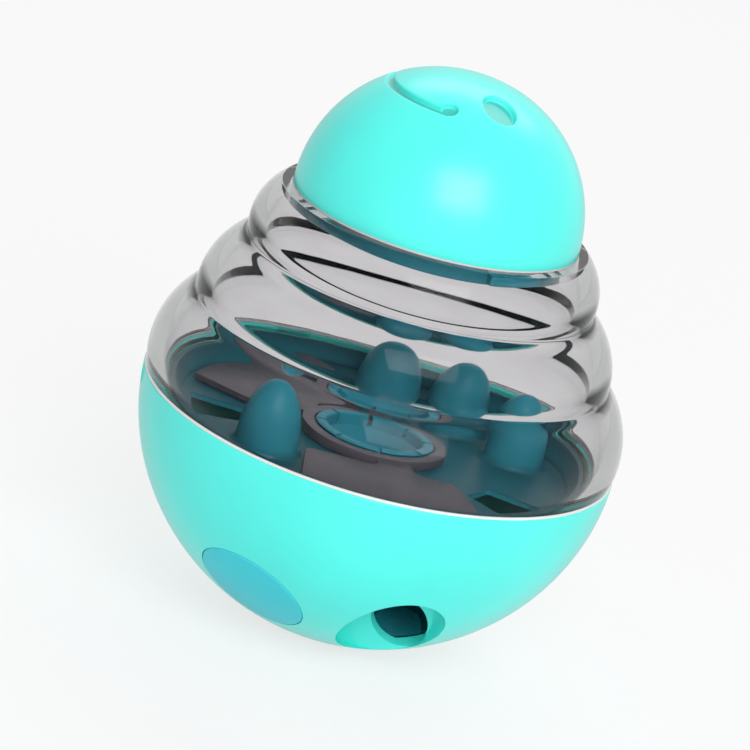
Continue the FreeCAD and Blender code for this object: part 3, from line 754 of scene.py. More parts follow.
def clear_plastic(name, colour):
    """Clear moulded shell with a smoke tint that is painted darker towards its limbs, painted dark bands in
    its folds, and bright gloss along its limbs.
    """
    paint = Paint(name)
    paint.tree.nodes.remove(paint.shader)
    flow = paint.noise(14 * MM, detail=2.0, stretch=(1.0, 1.0, 2.5))
    hairs = paint.noise(1.6 * MM, detail=5.0, stretch=(1.0, 1.0, 12.0))
    facing = paint.add("ShaderNodeLayerWeight", Blend=0.3).outputs["Facing"]
    tint = paint.mix(paint.spread(flow, 0.0, 1.0, 0.35, 0.65), scaled(colour, 0.98), colour)
    # Painted shade: what is seen through the shell darkens to half towards its limbs
    tint = paint.mix(paint.spread(facing, 0.0, 0.15, 0.35, 1.0), tint, scaled(colour, 0.5))
    # The gloss is faint where it is looked through squarely, full where it turns away or mirrors all inside
    front_tone = paint.mix(paint.spread(facing, 0.0, 1.0, 0.15, 0.7), GLOSS_FAINT, GLOSS_FULL)
    # Painted shade: in the folds the inside gloss goes nearly black, which paints dark bands
    back_tone = paint.mix(fold_shade_mask(paint), INSIDE_GLOSS, FOLD_SHADE_GLOSS)
    back_tone = paint.mix(paint.spread(facing, 0.0, 1.0, 0.1, 0.17), INSIDE_FAINT, back_tone)
    back = paint.add("ShaderNodeNewGeometry").outputs["Backfacing"]
    through = paint.add("ShaderNodeBsdfRefraction", IOR=SHELL_IOR, Roughness=0.0)
    mirror = paint.add("ShaderNodeBsdfGlossy")
    fresnel = paint.add("ShaderNodeFresnel", IOR=SHELL_IOR)
    paint.link(tint, through.inputs["Color"])
    paint.link(paint.mix(back, front_tone, back_tone), mirror.inputs["Color"])
    paint.link(paint.spread(hairs, 0.01, 0.05, 0.5, 0.8), mirror.inputs["Roughness"])
    normal = paint.bump(flow, 0.05 * MM, 0.3)
    for shader in (through, mirror, fresnel):
        paint.link(normal, shader.inputs["Normal"])
    clear = paint.add("ShaderNodeBsdfTransparent", Color=(*scaled(colour, 0.95), 1.0))
    ray = paint.add("ShaderNodeLightPath")
    both = paint.blend(fresnel.outputs[0], through, mirror)
    shown = paint.blend(ray.outputs["Is Shadow Ray"], both, clear)
    paint.link(shown.outputs[0], paint.output.inputs["Surface"])
    return paint.material


def metal(name, lump, dark, bright, rough, depth, metallic, **pattern):
    """Metal with a tone, gloss and relief that follow one noise."""
    paint = Paint(name)
    lumps = paint.noise(lump, **pattern)
    paint.link(paint.mix(lumps, dark, bright), paint.shader.inputs["Base Color"])
    paint.link(paint.spread(lumps, *rough), paint.shader.inputs["Roughness"])
    paint.link(paint.bump(lumps, depth), paint.shader.inputs["Normal"])
    paint.shader.inputs["Metallic"].default_value = metallic
    return paint.material


def material(name):
    """One of this object's materials, made when it is first asked for."""
    found = bpy.data.materials.get(name)
    if found:
        return found
    colours = look()
    if name == "turquoise plastic":
        return moulded(name, colours.shell_colour, 0.3, 0.45)
    if name == "plug rubber":
        return moulded(name, colours.plug_colour, 0.42, 0.2, grain=1.0)
    if name == "tray plastic":
        return moulded(name, colours.tray_colour, 0.3, 0.1, shade=floor_shade)
    if name == "teal plastic":
        return moulded(name, colours.tray_colour, 0.28, 0.2)
    if name == "gate plastic":
        return moulded(name, colours.gate_colour, 0.35, 0.2)
    if name == "seal":
        return moulded(name, colours.seal_colour, 0.5, 0.3)
    if name == "clear plastic":
        return clear_plastic(name, colours.clear_colour)
    if name == "cast weight":
        return metal(name, 1.8 * MM, (0.055, 0.056, 0.06), (0.16, 0.16, 0.17), (0.45, 0.75), 0.25 * MM, 0.8,
                     detail=6.0, roughness=0.65)
    return metal(name, 0.5 * MM, (0.52, 0.52, 0.54), (0.72, 0.72, 0.74), (0.2, 0.4), 0.02 * MM, 1.0,
                 detail=4.0, stretch=(1.0, 1.0, 8.0))


def finish_piece(item, body, node, angle=35.0):
    """Smooth a piece, except edges sharper than an angle, and put it on its body in place of its node."""
    item.data.shade_smooth()
    item.data.set_sharp_from_angle(angle=math.radians(angle))
    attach(item, body)
    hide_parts(node)


def paint_node(name, paint):
    """Give a node of the frame a better material."""
    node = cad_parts[name]
    node.data.materials.clear()
    node.data.materials.append(material(paint))


# Bowl

def bowl_reach(direction):
    """Distance from the seam's middle to the bowl's face along a direction."""
    across = math.hypot(direction.x, direction.y) / BOWL_R
    down = abs(direction.z) / BOWL_DEEP
    return (across ** BOWL_POWER + down ** BOWL_POWER) ** (-1 / BOWL_POWER)


def plug_axis():
    """Point on the bowl's outer face at the plug's middle, and the direction outwards."""
    p = math.radians(PLUG_POLAR)
    outward = polar(PLUG_AZ, math.sin(p), -math.cos(p))
    return CENTRE + outward * bowl_reach(outward), outward


def bowl_outline():
    top = SEAM - SEAL_HALF
    in_wide = BOWL_R - BOWL_WALL
    in_deep = BOWL_DEEP - BOWL_WALL
    ledge_top = FLOOR - TRAY_WALL
    ledge_low = ledge_top - LEDGE_THICK
    foot_r = round_radius(SEAM, BOWL_R, BOWL_DEEP, BOWL_POWER)
    in_top, high_r, low_r, flat_r = [round_radius(SEAM - z, in_wide, in_deep, BOWL_POWER)
                                     for z in (top, ledge_top, ledge_low, FLAT_TOP)]
    t_top = math.asin((SEAL_HALF / BOWL_DEEP) ** (BOWL_POWER / 2))
    t_foot, t_flat, t_ledge = [round_angle(r, wide, BOWL_POWER) for r, wide in
                               ((foot_r, BOWL_R), (flat_r, in_wide), (low_r, in_wide))]
    outer = round_curve(BOWL_R, -BOWL_DEEP, BOWL_POWER, SEAM, t_top, t_foot, 72)
    inner = round_curve(in_wide, -in_deep, BOWL_POWER, SEAM, t_flat, t_ledge, 60)
    outline = [(0, 0, 0), outer[-1][:2]] + outer[-2:0:-1] + [outer[0][:2], (ROOT_R, top)]
    outline += [(in_top - 0.05 * MM, top - (ROOT_R - in_top)), (high_r, ledge_top), (LEDGE_R, ledge_top),
                (LEDGE_R, ledge_low), inner[-1][:2]]
    outline += inner[-2:0:-1] + [inner[0][:2], (0, FLAT_TOP, 0)]
    return split_long(rounded(outline), 2.0 * MM)


def bowl_fill():
    """Outline of the bowl's outer form filled in, a little inside its face."""
    inset = 0.4 * MM
    curve = round_curve(BOWL_R - inset, inset - BOWL_DEEP, BOWL_POWER, SEAM, 0, math.pi / 2, 60)
    return [point[:2] for point in curve] + [(0, SEAM)]


def hole_normal():
    """Direction that the outlet's back wall looks."""
    tilt = math.radians(HOLE_TILT)
    return polar(HOLE_AZ, math.cos(tilt), math.sin(tilt))


def pocket(grow):
    """Level cylinder that ends at the slanting back wall of the outlet's pocket."""
    out = polar(OUTLET_AZ, 1.0)
    middle = polar(OUTLET_AZ + 90.0, POCKET_SIDE, POCKET_HIGH)
    body = cylinder_between(middle + out * POCKET_START, middle + out * POCKET_END, POCKET_R + grow, 160, 40)
    normal = hole_normal()
    work = bmesh.new()
    work.from_mesh(body.data)
    geom = [*work.verts, *work.edges, *work.faces]
    cut = bmesh.ops.bisect_plane(work, geom=geom, plane_co=HOLE_PLACE - normal * grow, plane_no=normal,
                                 clear_inner=True)
    rim = [e for e in cut["geom_cut"] if isinstance(e, bmesh.types.BMEdge)]
    bmesh.ops.holes_fill(work, edges=rim)
    work.to_mesh(body.data)
    work.free()
    return body


def cut_outlet(bowl):
    """Pocket in the bowl's side with its wall, and the round hole from it into the chamber."""
    wall = pocket(POCKET_WALL)
    combine(wall, turned("tool", bowl_fill(), None, 192), "INTERSECT")
    combine(bowl, wall, "UNION")
    combine(bowl, soften(pocket(0.0), POCKET_EDGE, 50, 5), "DIFFERENCE")
    rise = math.radians(HOLE_RISE)
    inward = polar(HOLE_AZ, -math.cos(rise), math.sin(rise))
    start = HOLE_PLACE - inward * 3 * MM
    combine(bowl, cylinder_between(start, start + inward * 14 * MM, HOLE_R, 96, 14), "DIFFERENCE")


def cut_plug_seat(bowl):
    """Collar, seat and hole for the plug."""
    origin, outward = plug_axis()
    collar = cylinder_between(origin - outward * MM, origin - outward * COLLAR_LONG,
                              PLUG_STEM_R + COLLAR_WALL, 96, 6)
    seat = cylinder_between(origin + outward * 4 * MM, origin - outward * (PLUG_CAP + PLUG_GAP),
                            PLUG_R + PLUG_GAP, 160, 8)
    hole = cylinder_between(origin, origin - outward * 2 * COLLAR_LONG, PLUG_STEM_R + PLUG_GAP, 96, 8)
    combine(bowl, collar, "UNION")
    combine(bowl, seat, "DIFFERENCE")
    combine(bowl, hole, "DIFFERENCE")


def cut_notch(bowl):
    place = polar(NOTCH_AZ, BOWL_R + NOTCH_OUT, SEAM - NOTCH_DROP)
    combine(bowl, ball(place, NOTCH_R, 96, 64), "DIFFERENCE")


def cut_grooves(bowl):
    """Four ways down for the shell's lugs, each with a run to one side."""
    half = SHELL_LUG_HALF + GROOVE_PLAY
    outer_r = SHELL_LUG_R + GROOVE_GAP
    for azimuth in around(SHELL_LUGS, SHELL_LUG_START):
        down = sector_tool(GROOVE_R, outer_r, GROOVE_LOW, SEAM + 2 * MM, azimuth, half)
        combine(bowl, down, "DIFFERENCE")
        run = sector_tool(GROOVE_R, outer_r, GROOVE_LOW, GROOVE_HIGH, azimuth + SHELL_TURN / 2,
                          half + SHELL_TURN / 2)
        combine(bowl, run, "DIFFERENCE")


def build_bowl():
    bowl = turned("bowl_body", bowl_outline(), material("turquoise plastic"))
    cut_outlet(bowl)
    cut_plug_seat(bowl)
    cut_notch(bowl)
    cut_grooves(bowl)
    clean(bowl, 0.01 * MM)
    finish_piece(bowl, "base", "bowl")


def bowl_sag(point, outward):
    """How far a point of the plug's plane has to go inwards, along its axis, to the bowl's face."""
    low = -2 * MM
    high = 8 * MM
    for _ in range(30):
        middle = (low + high) / 2
        place = point - outward * middle - CENTRE
        if place.length > bowl_reach(place.normalized()):
            low = middle
        else:
            high = middle
    return low


def build_plug():
    """Round plug whose face follows the bowl, with a hollow stem behind it."""
    origin, outward = plug_axis()
    face = [(PLUG_R * k / 24, 0.0) for k in range(1, 24)]
    for k in range(1, 6):
        a = math.pi / 2 * k / 5
        face.append((PLUG_R - PLUG_EDGE * (1 - math.sin(a)), PLUG_EDGE * (1 - math.cos(a))))
    rings = []
    for r, drop in face:
        rings.append([place + outward * (PLUG_PROUD - bowl_sag(place, outward) - drop)
                      for place in ring(origin, outward, r, 160)])
    inner = PLUG_STEM_R - PLUG_WALL
    deep = MM + PLUG_STEM_LONG
    bottom = 2 * PLUG_WALL
    behind = [(PLUG_R, PLUG_CAP - 0.2 * MM), (PLUG_R - 0.2 * MM, PLUG_CAP),
              (PLUG_STEM_R + 0.4 * MM, PLUG_CAP), (PLUG_STEM_R, PLUG_CAP + 0.4 * MM),
              (PLUG_STEM_R, deep - 0.4 * MM), (PLUG_STEM_R - 0.4 * MM, deep), (inner + 0.3 * MM, deep),
              (inner, deep - 0.3 * MM), (inner, bottom + 0.5 * MM), (inner - 0.5 * MM, bottom)]
    rings += [ring(origin - outward * depth, outward, r, 160) for r, depth in behind]
    plug = ring_mesh("round_plug", rings, origin + outward * PLUG_PROUD, origin - outward * bottom)
    clean(plug, 1e-7)
    plug.data.materials.append(material("plug rubber"))
    finish_piece(plug, "plug", "outlet_plug", 50)


# Tray and gate plate

def tray_outline():
    z0 = FLOOR - TRAY_WALL
    rim_top = SEAM - MM
    lip_z = HUB_TOP - HUB_LIP / 2
    outline = [(HUB_HOLE_R, z0), (TRAY_R, z0), (TRAY_R, FLOOR), (TRAY_RIM_R, FLOOR), (TRAY_RIM_R, rim_top),
               (TRAY_RIM_R - RIM_WALL, rim_top), (TRAY_RIM_R - RIM_SLOPE, FLOOR), (HUB_R, FLOOR),
               (HUB_R, lip_z - HUB_LIP / 2), (HUB_R + HUB_LIP, lip_z), (HUB_R, HUB_TOP),
               (HUB_HOLE_R + HUB_LIP / 2, HUB_TOP), (HUB_HOLE_R, HUB_TOP - HUB_LIP / 2), (HUB_HOLE_R, FLOOR)]
    full = (HUB_HOLE_R ** 2 + DISH_DEEP ** 2) / (2 * DISH_DEEP)
    dish = []
    for k in range(16):
        r = HUB_HOLE_R * k / 16
        dish.append((r, full - DISH_DEEP - math.sqrt(full ** 2 - r ** 2)))
    outline += [(r, FLOOR + z, 0) for r, z in reversed(dish)] + [(r, z0 + z, 0) for r, z in dish]
    return split_long(rounded(outline, 0.25 * MM), 3.0 * MM)


def post_outline(radius, high):
    """Bullet-shaped post with a flared foot, as a closed outline."""
    curve = round_curve(radius, high, POST_POWER, FLOOR, 0.12, math.pi / 2, 40)
    foot = FLOOR - 0.6 * MM
    r, z, _ = curve[0]
    points = [(0, foot), (r + POST_FLARE, foot), (r + POST_FLARE, FLOOR)]
    for k in range(1, 8):
        a = math.pi / 2 * k / 7
        points.append((r + POST_FLARE * (1 - math.sin(a)), FLOOR + (z - FLOOR) * (1 - math.cos(a))))
    return points + [point[:2] for point in curve[1:]]


def slit_tool():
    """Block for one slit in the hub, at azimuth 0."""
    front = -HUB_R - HUB_LIP - 0.5 * MM
    back = -HUB_HOLE_R + MM
    verts = [(x, y, z) for x in (-SLIT_HALF, SLIT_HALF) for y in (front, back)
             for z in (SLIT_LOW, HUB_TOP + 2 * MM)]
    faces = [(0, 1, 3, 2), (4, 6, 7, 5), (0, 4, 5, 1), (2, 3, 7, 6), (0, 2, 6, 4), (1, 5, 7, 3)]
    return clean(mesh_object("tool", verts, faces))


def build_tray():
    paint = material("tray plastic")
    tray = turned("sorting_tray", tray_outline(), paint)
    for azimuth, place_r, radius, high in POSTS:
        post = turned("tool", post_outline(radius, high), paint, 96)
        post.data.transform(Matrix.Translation(polar(azimuth, place_r)))
        combine(tray, post, "UNION")
    for window in WINDOWS:
        tool = sector_tool(WINDOW_IN, WINDOW_OUT, FLOOR - 3 * MM, FLOOR + 2 * MM, window, WINDOW_HALF)
        combine(tray, soften(tool, WINDOW_EDGE, 60, 4), "DIFFERENCE")
    combine(tray, copies(slit_tool(), around(HUB_SLITS, SLIT_START), paint), "DIFFERENCE")
    clean(tray, 0.005 * MM)
    finish_piece(tray, "tray_body", "tray")


def build_gate():
    """Gate plate: the frame's own shape, with rounded edges."""
    gate = new_object("gate_disc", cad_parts["gate_plate"].data.copy())
    clean(gate)
    work = bmesh.new()
    work.from_mesh(gate.data)
    bmesh.ops.dissolve_limit(work, angle_limit=math.radians(1.0), verts=work.verts, edges=work.edges)
    work.to_mesh(gate.data)
    work.free()
    soften(gate, 0.25 * MM, 30, 3)
    gate.data.materials.clear()
    gate.data.materials.append(material("gate plastic"))
    finish_piece(gate, "gate", "gate_plate", 30)


# Clear shell

def shell_outline():
    bottom = SEAM + SEAL_HALF
    mouth_low = SHOULDER - MOUTH_THICK
    skirt_in = SKIRT_R - SKIRT_WALL
    outer = rib_points(0.0, NECK_FILLET, bottom, SHOULDER)
    inner = rib_points(SHELL_WALL, INNER_FILLET, SEAM - SEAL_HALF, mouth_low - SHELL_WALL / 2)
    step = inner[0][0] - skirt_in
    outline = [(SKIRT_R, bottom - ROOT_R + SKIRT_R), (ROOT_R, bottom), outer[0][:2]] + outer[1:-1]
    outline += [outer[-1][:2], (MOUTH_R, SHOULDER), (MOUTH_R, mouth_low), inner[-1][:2]]
    outline += inner[-2:0:-1] + [inner[0][:2], (skirt_in, SEAM - SEAL_HALF - step),
                                 (skirt_in, SKIRT_BOTTOM), (SKIRT_R, SKIRT_BOTTOM)]
    return split_long(rounded(outline, 0.3 * MM), 2.0 * MM)


def build_shell():
    shell = turned("clear_hopper", shell_outline(), material("clear plastic"))
    for azimuth in around(SHELL_LUGS, SHELL_LUG_START):
        lug = sector_tool(SKIRT_R - SKIRT_WALL / 2, SHELL_LUG_R, SHELL_LUG_LOW, SHELL_LUG_HIGH, azimuth,
                          SHELL_LUG_HALF)
        combine(shell, soften(lug, 0.25 * MM, 60, 2), "UNION")
    for azimuth in around(CAP_LUGS, CAP_LUG_START):
        notch = sector_tool(CAP_NECK_R - 2 * MM, CAP_LUG_R + GROOVE_GAP, SHOULDER - MOUTH_THICK - 4 * MM,
                            SHOULDER + 2 * MM, azimuth, CAP_LUG_HALF + CAP_LUG_PLAY, 24)
        combine(shell, notch, "DIFFERENCE")
    clean(shell, 0.005 * MM)
    finish_piece(shell, "hopper", "shell")


def build_seal(name, node, body, wide):
    """Thin gasket with a rounded section."""
    low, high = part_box(node)
    inner = high.x - wide
    outline = [(inner, low.z), (high.x, low.z), (high.x, high.z), (inner, high.z)]
    piece = turned(name, rounded(outline, 0.2 * MM), material("seal"))
    finish_piece(piece, body, node, 60)


# Cap

def dome_point(direction):
    """Point on the cap's outer face for a point of the unit half sphere."""
    flat = math.hypot(direction.x, direction.y)
    if flat < 1e-9:
        return Vector((0, 0, CAP_RIM + CAP_HIGH))
    r = CAP_R * flat ** (2 / CAP_POWER)
    z = CAP_HIGH * max(0.0, direction.z) ** (2 / CAP_POWER)
    return Vector((direction.x / flat * r, direction.y / flat * r, CAP_RIM + z))


def dome_normal(point):
    r = math.hypot(point.x, point.y)
    slope = (r / CAP_R) ** (CAP_POWER - 1) / CAP_R
    rise = (max(0.0, point.z - CAP_RIM) / CAP_HIGH) ** (CAP_POWER - 1) / CAP_HIGH
    if r < 1e-9:
        return UP.copy()
    return Vector((point.x / r * slope, point.y / r * slope, rise)).normalized()


def dome_at(azimuth, r):
    """Point on the cap's outer face at an azimuth and a radius."""
    return polar(azimuth, r, CAP_RIM + round_radius(r, CAP_HIGH, CAP_R, CAP_POWER))


class Face:
    """The pressed-in arc and ovals of the cap, as distances and depths."""

    def __init__(self):
        self.ring_z = dome_at(0, SMILE_R).z
        self.ends = [dome_at(SMILE_MIDDLE + side * SMILE_HALF, SMILE_R - 0.9 * MM) for side in (-1, 1)]
        self.tips = [dome_at(SMILE_MIDDLE + side * SMILE_HALF, SMILE_R) for side in (-1, 1)]
        self.eyes = []
        for azimuth in (90.0 - EYE_OFFSET, 90.0 + EYE_OFFSET):
            centre = dome_at(azimuth, EYE_R)
            normal = dome_normal(centre)
            across = UP.cross(normal).normalized()
            self.eyes.append((centre, normal, across, normal.cross(across)))

    def smile(self, point):
        """Distance from the groove's outline, below 0 inside it."""
        azimuth = math.degrees(math.atan2(point.x, -point.y))
        turn = (azimuth - SMILE_MIDDLE + 180) % 360 - 180
        if abs(turn) < SMILE_HALF:
            r = math.hypot(point.x, point.y)
            line = math.hypot(r - SMILE_R, point.z - self.ring_z)
        else:
            line = min((point - tip).length for tip in self.tips)
        dimple = min((point - end).length for end in self.ends) - SMILE_END_R
        return min(line - SMILE_WIDE / 2, dimple)

    def eye(self, point):
        """Distance from the nearer oval's outline, and the depth of its flat bottom there."""
        best = None
        for centre, normal, across, along in self.eyes:
            offset = point - centre
            u = offset.dot(along) / EYE_LONG
            v = offset.dot(across) / EYE_WIDE
            q = math.hypot(u, v)
            distance = (q - 1) * (EYE_LONG + EYE_WIDE) / 2
            depth = EYE_DEEP + offset.dot(normal)
            if best is None or distance < best[0]:
                best = (distance, depth)
        return best


def ease(value, start, end):
    """0 at start, 1 at end, smooth between."""
    t = min(1.0, max(0.0, (value - start) / (end - start)))
    return t * t * (3 - 2 * t)


def refine(work, face):
    """Divide the edges near the face's lines, each time more finely and more closely."""
    for target in (0.6 * MM, 0.3 * MM, 0.15 * MM):
        places = {v: dome_point(v.co.normalized()) for v in work.verts if v.co.z > FACE_FROM}
        gaps = {v: min(abs(face.smile(place)), abs(face.eye(place)[0])) for v, place in places.items()}
        near = []
        for e in work.edges:
            a, b = e.verts
            if a not in gaps or b not in gaps:
                continue
            if (places[a] - places[b]).length > target and min(gaps[a], gaps[b]) < target * 1.4 + 0.3 * MM:
                near.append(e)
        bmesh.ops.subdivide_edges(work, edges=near, cuts=1, use_grid_fill=True)
    bmesh.ops.triangulate(work, faces=[f for f in work.faces if len(f.verts) > 4])


def press(work, face):
    """Move the points of the unit half sphere to the cap's face, with its lines pressed in, and store the
    painted shade of their hollows.
    """
    pressed = work.verts.layers.float.new("pressed")
    for v in work.verts:
        direction = v.co.normalized()
        place = dome_point(direction)
        v.co = place
        if direction.z < FACE_FROM:
            continue
        line = face.smile(place)
        eye, depth = face.eye(place)
        # Painted shade: darker in the arc's groove and in the eyes' hollows, kept in the pressed attribute
        v[pressed] = max(LINE_SHADE * ease(-line, 0.0, 0.4 * MM), EYE_SHADE * ease(-eye, 0.0, 0.5 * MM))
        bottom = SMILE_DEEP * (1 + 0.25 * ease(-line, 0, SMILE_WIDE / 2)) * ease(-line, -0.2 * MM, 0.12 * MM)
        flat = max(depth, 0.0) * ease(-eye, -0.2 * MM, 0.15 * MM)
        for gap, deep in ((line, bottom), (eye, flat)):
            if gap < LIP_WIDE:
                lip = LIP_DEEP * ease(-gap, -LIP_WIDE, -0.1 * MM)
                v.co = place - dome_normal(place) * (deep + lip)


def dome_row(r, z):
    """Points round the upright axis at a radius and height."""
    return [polar(azimuth, r, z) for azimuth in around(DOME_STEPS, 0.0)]


def hollow_rows():
    """Rows of points from the cap's rim up its hollow, without the last point."""
    in_r = CAP_R - CAP_WALL
    in_high = CAP_HIGH - CAP_CROWN
    rim = 0.3 * MM
    rows = [(CAP_R, CAP_RIM)]
    for k in range(5):
        a = math.pi / 2 * k / 4
        rows.append((in_r + rim * (1 - math.sin(a)), CAP_RIM + rim * (1 - math.cos(a))))
    rows += round_curve(in_r, in_high, CAP_POWER, CAP_RIM, math.pi / 80, math.pi * 39 / 80, 38)
    return [dome_row(*row[:2]) for row in rows]


def build_cap_dome():
    """Dome from its outer face and its hollow, which meet at the rim."""
    turns = [math.pi / 2 * k / 48 for k in range(48)]
    outer = [dome_row(math.cos(t), math.sin(t)) for t in turns]
    dome = ring_mesh("cap_shell", outer, end=UP, flat_ends=False)
    hollow = ring_mesh("tool", hollow_rows(), end=UP * (CAP_RIM + CAP_HIGH - CAP_CROWN), flat_ends=False)
    face = Face()
    work = bmesh.new()
    work.from_mesh(dome.data)
    refine(work, face)
    press(work, face)
    work.from_mesh(hollow.data)
    work.to_mesh(dome.data)
    work.free()
    bpy.data.objects.remove(hollow)
    dome.data.materials.append(material("turquoise plastic"))
    clean(dome, 0.002 * MM)
    finish_piece(dome, "cap", "cap_dome", 60)


def build_cap_neck():
    """Disc that closes the dome, with the neck and its lugs."""
    disc_r = CAP_R - CAP_WALL - 0.2 * MM
    high = CAP_RIM + CAP_DISC
    low = SHOULDER - CAP_NECK_LONG
    inside = CAP_NECK_R - CAP_NECK_WALL
    outline = [(0, CAP_RIM, 0), (inside, CAP_RIM), (inside, low), (CAP_NECK_R, low), (CAP_NECK_R, CAP_RIM),
               (disc_r, CAP_RIM), (disc_r - 0.1 * MM, high), (0, high, 0)]
    # The neck takes the darker tray teal: partly its own colour, partly painted shade for the dim light
    # under the cap
    neck = turned("cap_closure", split_long(rounded(outline, 0.3 * MM), 2 * MM), material("teal plastic"))
    lug_low = low + 0.3 * MM
    for azimuth in around(CAP_LUGS, CAP_LUG_START):
        lug = sector_tool(CAP_NECK_R - 0.5 * MM, CAP_LUG_R, lug_low, lug_low + CAP_LUG_THICK, azimuth,
                          CAP_LUG_HALF, 24)
        combine(neck, soften(lug, 0.3 * MM, 60, 3), "UNION")
    clean(neck, 0.002 * MM)
    finish_piece(neck, "cap", "cap_neck")


# Studio

def build_floor():
    corners = [(x * STUDIO_HALF, y * STUDIO_HALF, 0) for x, y in ((-1, -1), (1, -1), (1, 1), (-1, 1))]
    floor = mesh_object("studio_floor", corners, [(0, 1, 2, 3)])
    paint = Paint("floor paper")
    tone = paint.mix(paint.noise(3 * MM, detail=4.0), (0.84, 0.84, 0.84), (0.88, 0.88, 0.88))
    paint.link(tone, paint.shader.inputs["Base Color"])
    paint.shader.inputs["Roughness"].default_value = 0.9
    paint.shader.inputs["Specular IOR Level"].default_value = 0.1
    pale = paint.add("ShaderNodeEmission", Color=(1, 1, 1, 1), Strength=1.0)
    seen = paint.seen(paint.add("ShaderNodeLightPath"))
    shown = paint.blend(paint.spread(seen, 0.0, 0.75), paint.shader, pale)
    paint.link(shown.outputs[0], paint.output.inputs["Surface"])
    floor.data.materials.append(paint.material)


def build_world():
    """White to the camera and in reflections, a plain pale light for all else."""
    world = bpy.data.worlds.new("studio")
    bpy.context.scene.world = world
    world.use_nodes = True
    nodes = Nodes(world.node_tree)
    white = nodes.add("ShaderNodeBackground", Color=(1, 1, 1, 1))
    light = nodes.add("ShaderNodeBackground", Color=(1, 1, 1, 1), Strength=WORLD_LIGHT)
    ray = nodes.add("ShaderNodeLightPath")
    direct = nodes.sum("LESS_THAN", ray.outputs["Diffuse Depth"], 0.5)
    shown = nodes.blend(nodes.sum("MULTIPLY", nodes.seen(ray), direct), light, white)
    output = nodes.add("ShaderNodeOutputWorld")
    nodes.link(shown.outputs[0], output.inputs["Surface"])


def add_lamp(name, place, wide, high, power):
    """Soft oblong lamp that looks at the toy."""
    data = bpy.data.lights.new(name, "AREA")
    data.shape = "RECTANGLE"
    data.size = wide
    data.size_y = high
    data.energy = power
    lamp = new_object(name, data)
    lamp.location = place
    lamp.rotation_euler = (CENTRE - lamp.location).to_track_quat("-Z", "Y").to_euler()


def build_camera():
    data = bpy.data.cameras.new("photo_camera")
    data.lens = CAMERA_LENS
    data.sensor_width = 36.0
    camera = new_object("photo_camera", data)
    e = math.radians(CAMERA_ELEVATION)
    roll = math.radians(CAMERA_ROLL)
    back = Vector((0, -math.cos(e), math.sin(e)))
    right = Vector((1, 0, 0))
    up = back.cross(right)
    cam_right = right * math.cos(roll) + up * math.sin(roll)
    cam_up = up * math.cos(roll) - right * math.sin(roll)
    turn = Matrix((cam_right, cam_up, back)).transposed()
    camera.matrix_world = Matrix.Translation(CAMERA_AIM + back * CAMERA_DISTANCE) @ turn.to_4x4()
    bpy.context.scene.camera = camera


# Operators

class TREATBALL_OT_bowl(bpy.types.Operator):
    """Build the bowl with its outlet pocket, notch and grooves"""
    bl_idname = "treatball.bowl"
    bl_label = "Bowl"

    def execute(self, context):
        build_bowl()
        return {"FINISHED"}


class TREATBALL_OT_plug(bpy.types.Operator):
    """Build the round plug"""
    bl_idname = "treatball.plug"
    bl_label = "Plug"

    def execute(self, context):
        build_plug()
        return {"FINISHED"}


class TREATBALL_OT_weight(bpy.types.Operator):
    """Finish the weight, its cover and the screws"""
    bl_idname = "treatball.weight"
    bl_label = "Weight"

    def execute(self, context):
        paint_node("weight", "cast weight")
        paint_node("weight_cover", "teal plastic")
        paint_node("weight_screws", "screw steel")
        return {"FINISHED"}


class TREATBALL_OT_tray(bpy.types.Operator):
    """Build the tray with its hub and posts"""
    bl_idname = "treatball.tray"
    bl_label = "Tray"

    def execute(self, context):
        build_tray()
        return {"FINISHED"}


class TREATBALL_OT_gate(bpy.types.Operator):
    """Build the gate plate"""
    bl_idname = "treatball.gate"
    bl_label = "Gate plate"

    def execute(self, context):
        build_gate()
        return {"FINISHED"}


class TREATBALL_OT_shell(bpy.types.Operator):
    """Build the clear ribbed shell"""
    bl_idname = "treatball.shell"
    bl_label = "Clear shell"

    def execute(self, context):
        build_shell()
        return {"FINISHED"}


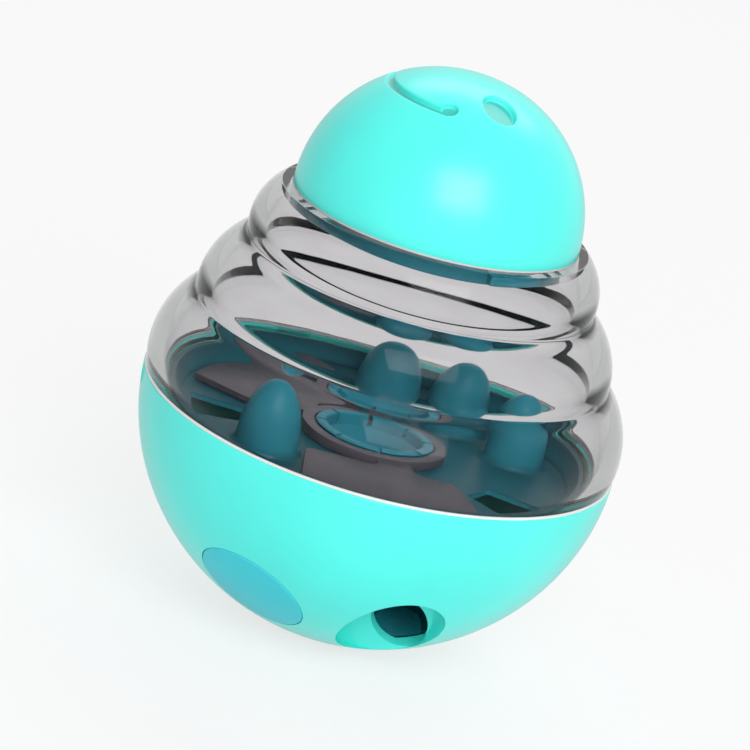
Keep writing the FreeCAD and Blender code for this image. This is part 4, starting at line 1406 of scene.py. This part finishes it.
class TREATBALL_OT_seals(bpy.types.Operator):
    """Build the two seals"""
    bl_idname = "treatball.seals"
    bl_label = "Seals"

    def execute(self, context):
        build_seal("seam_gasket", "seam_seal", "seam_ring", SEAM_SEAL_WIDE)
        build_seal("cap_gasket", "cap_seal", "cap_ring", CAP_SEAL_WIDE)
        return {"FINISHED"}


class TREATBALL_OT_cap(bpy.types.Operator):
    """Build the dome cap and its neck"""
    bl_idname = "treatball.cap"
    bl_label = "Cap"

    def execute(self, context):
        build_cap_dome()
        build_cap_neck()
        return {"FINISHED"}


class TREATBALL_OT_stage(bpy.types.Operator):
    """Build the floor, lights, world and camera"""
    bl_idname = "treatball.stage"
    bl_label = "Studio"

    def execute(self, context):
        build_floor()
        build_world()
        add_lamp("front_softbox", (0.35, -1.2, 1.0), 1.0, 0.8, 18.0)
        add_lamp("back_softbox", (0.1, 1.0, 1.15), 1.4, 0.5, 7.0)
        build_camera()
        bpy.context.scene.view_settings.view_transform = "Standard"
        return {"FINISHED"}


class TREATBALL_PT_panel(bpy.types.Panel):
    """Lists the pieces in the sidebar"""
    bl_idname = "TREATBALL_PT_panel"
    bl_label = "Treat ball"
    bl_space_type = "VIEW_3D"
    bl_region_type = "UI"
    bl_category = "Treat ball"

    def draw(self, context):
        layout = self.layout
        settings = context.scene.treat_ball
        for name in ("shell_colour", "plug_colour", "tray_colour", "gate_colour", "clear_colour",
                     "seal_colour", "edge_round", "segments"):
            layout.prop(settings, name)
        for operator in OPERATORS:
            layout.operator(operator.bl_idname)


OPERATORS = (TREATBALL_OT_bowl, TREATBALL_OT_plug, TREATBALL_OT_weight, TREATBALL_OT_tray, TREATBALL_OT_gate,
             TREATBALL_OT_shell, TREATBALL_OT_seals, TREATBALL_OT_cap, TREATBALL_OT_stage)
CLASSES = (TreatBallLook, *OPERATORS, TREATBALL_PT_panel)


def register():
    for cls in CLASSES:
        bpy.utils.register_class(cls)
    bpy.types.Scene.treat_ball = PointerProperty(type=TreatBallLook)


def unregister():
    del bpy.types.Scene.treat_ball
    for cls in reversed(CLASSES):
        bpy.utils.unregister_class(cls)


def main():
    register()
    for operator in OPERATORS:
        group, name = operator.bl_idname.split(".")
        getattr(getattr(bpy.ops, group), name)()


if __name__ == "__main__":
    main()
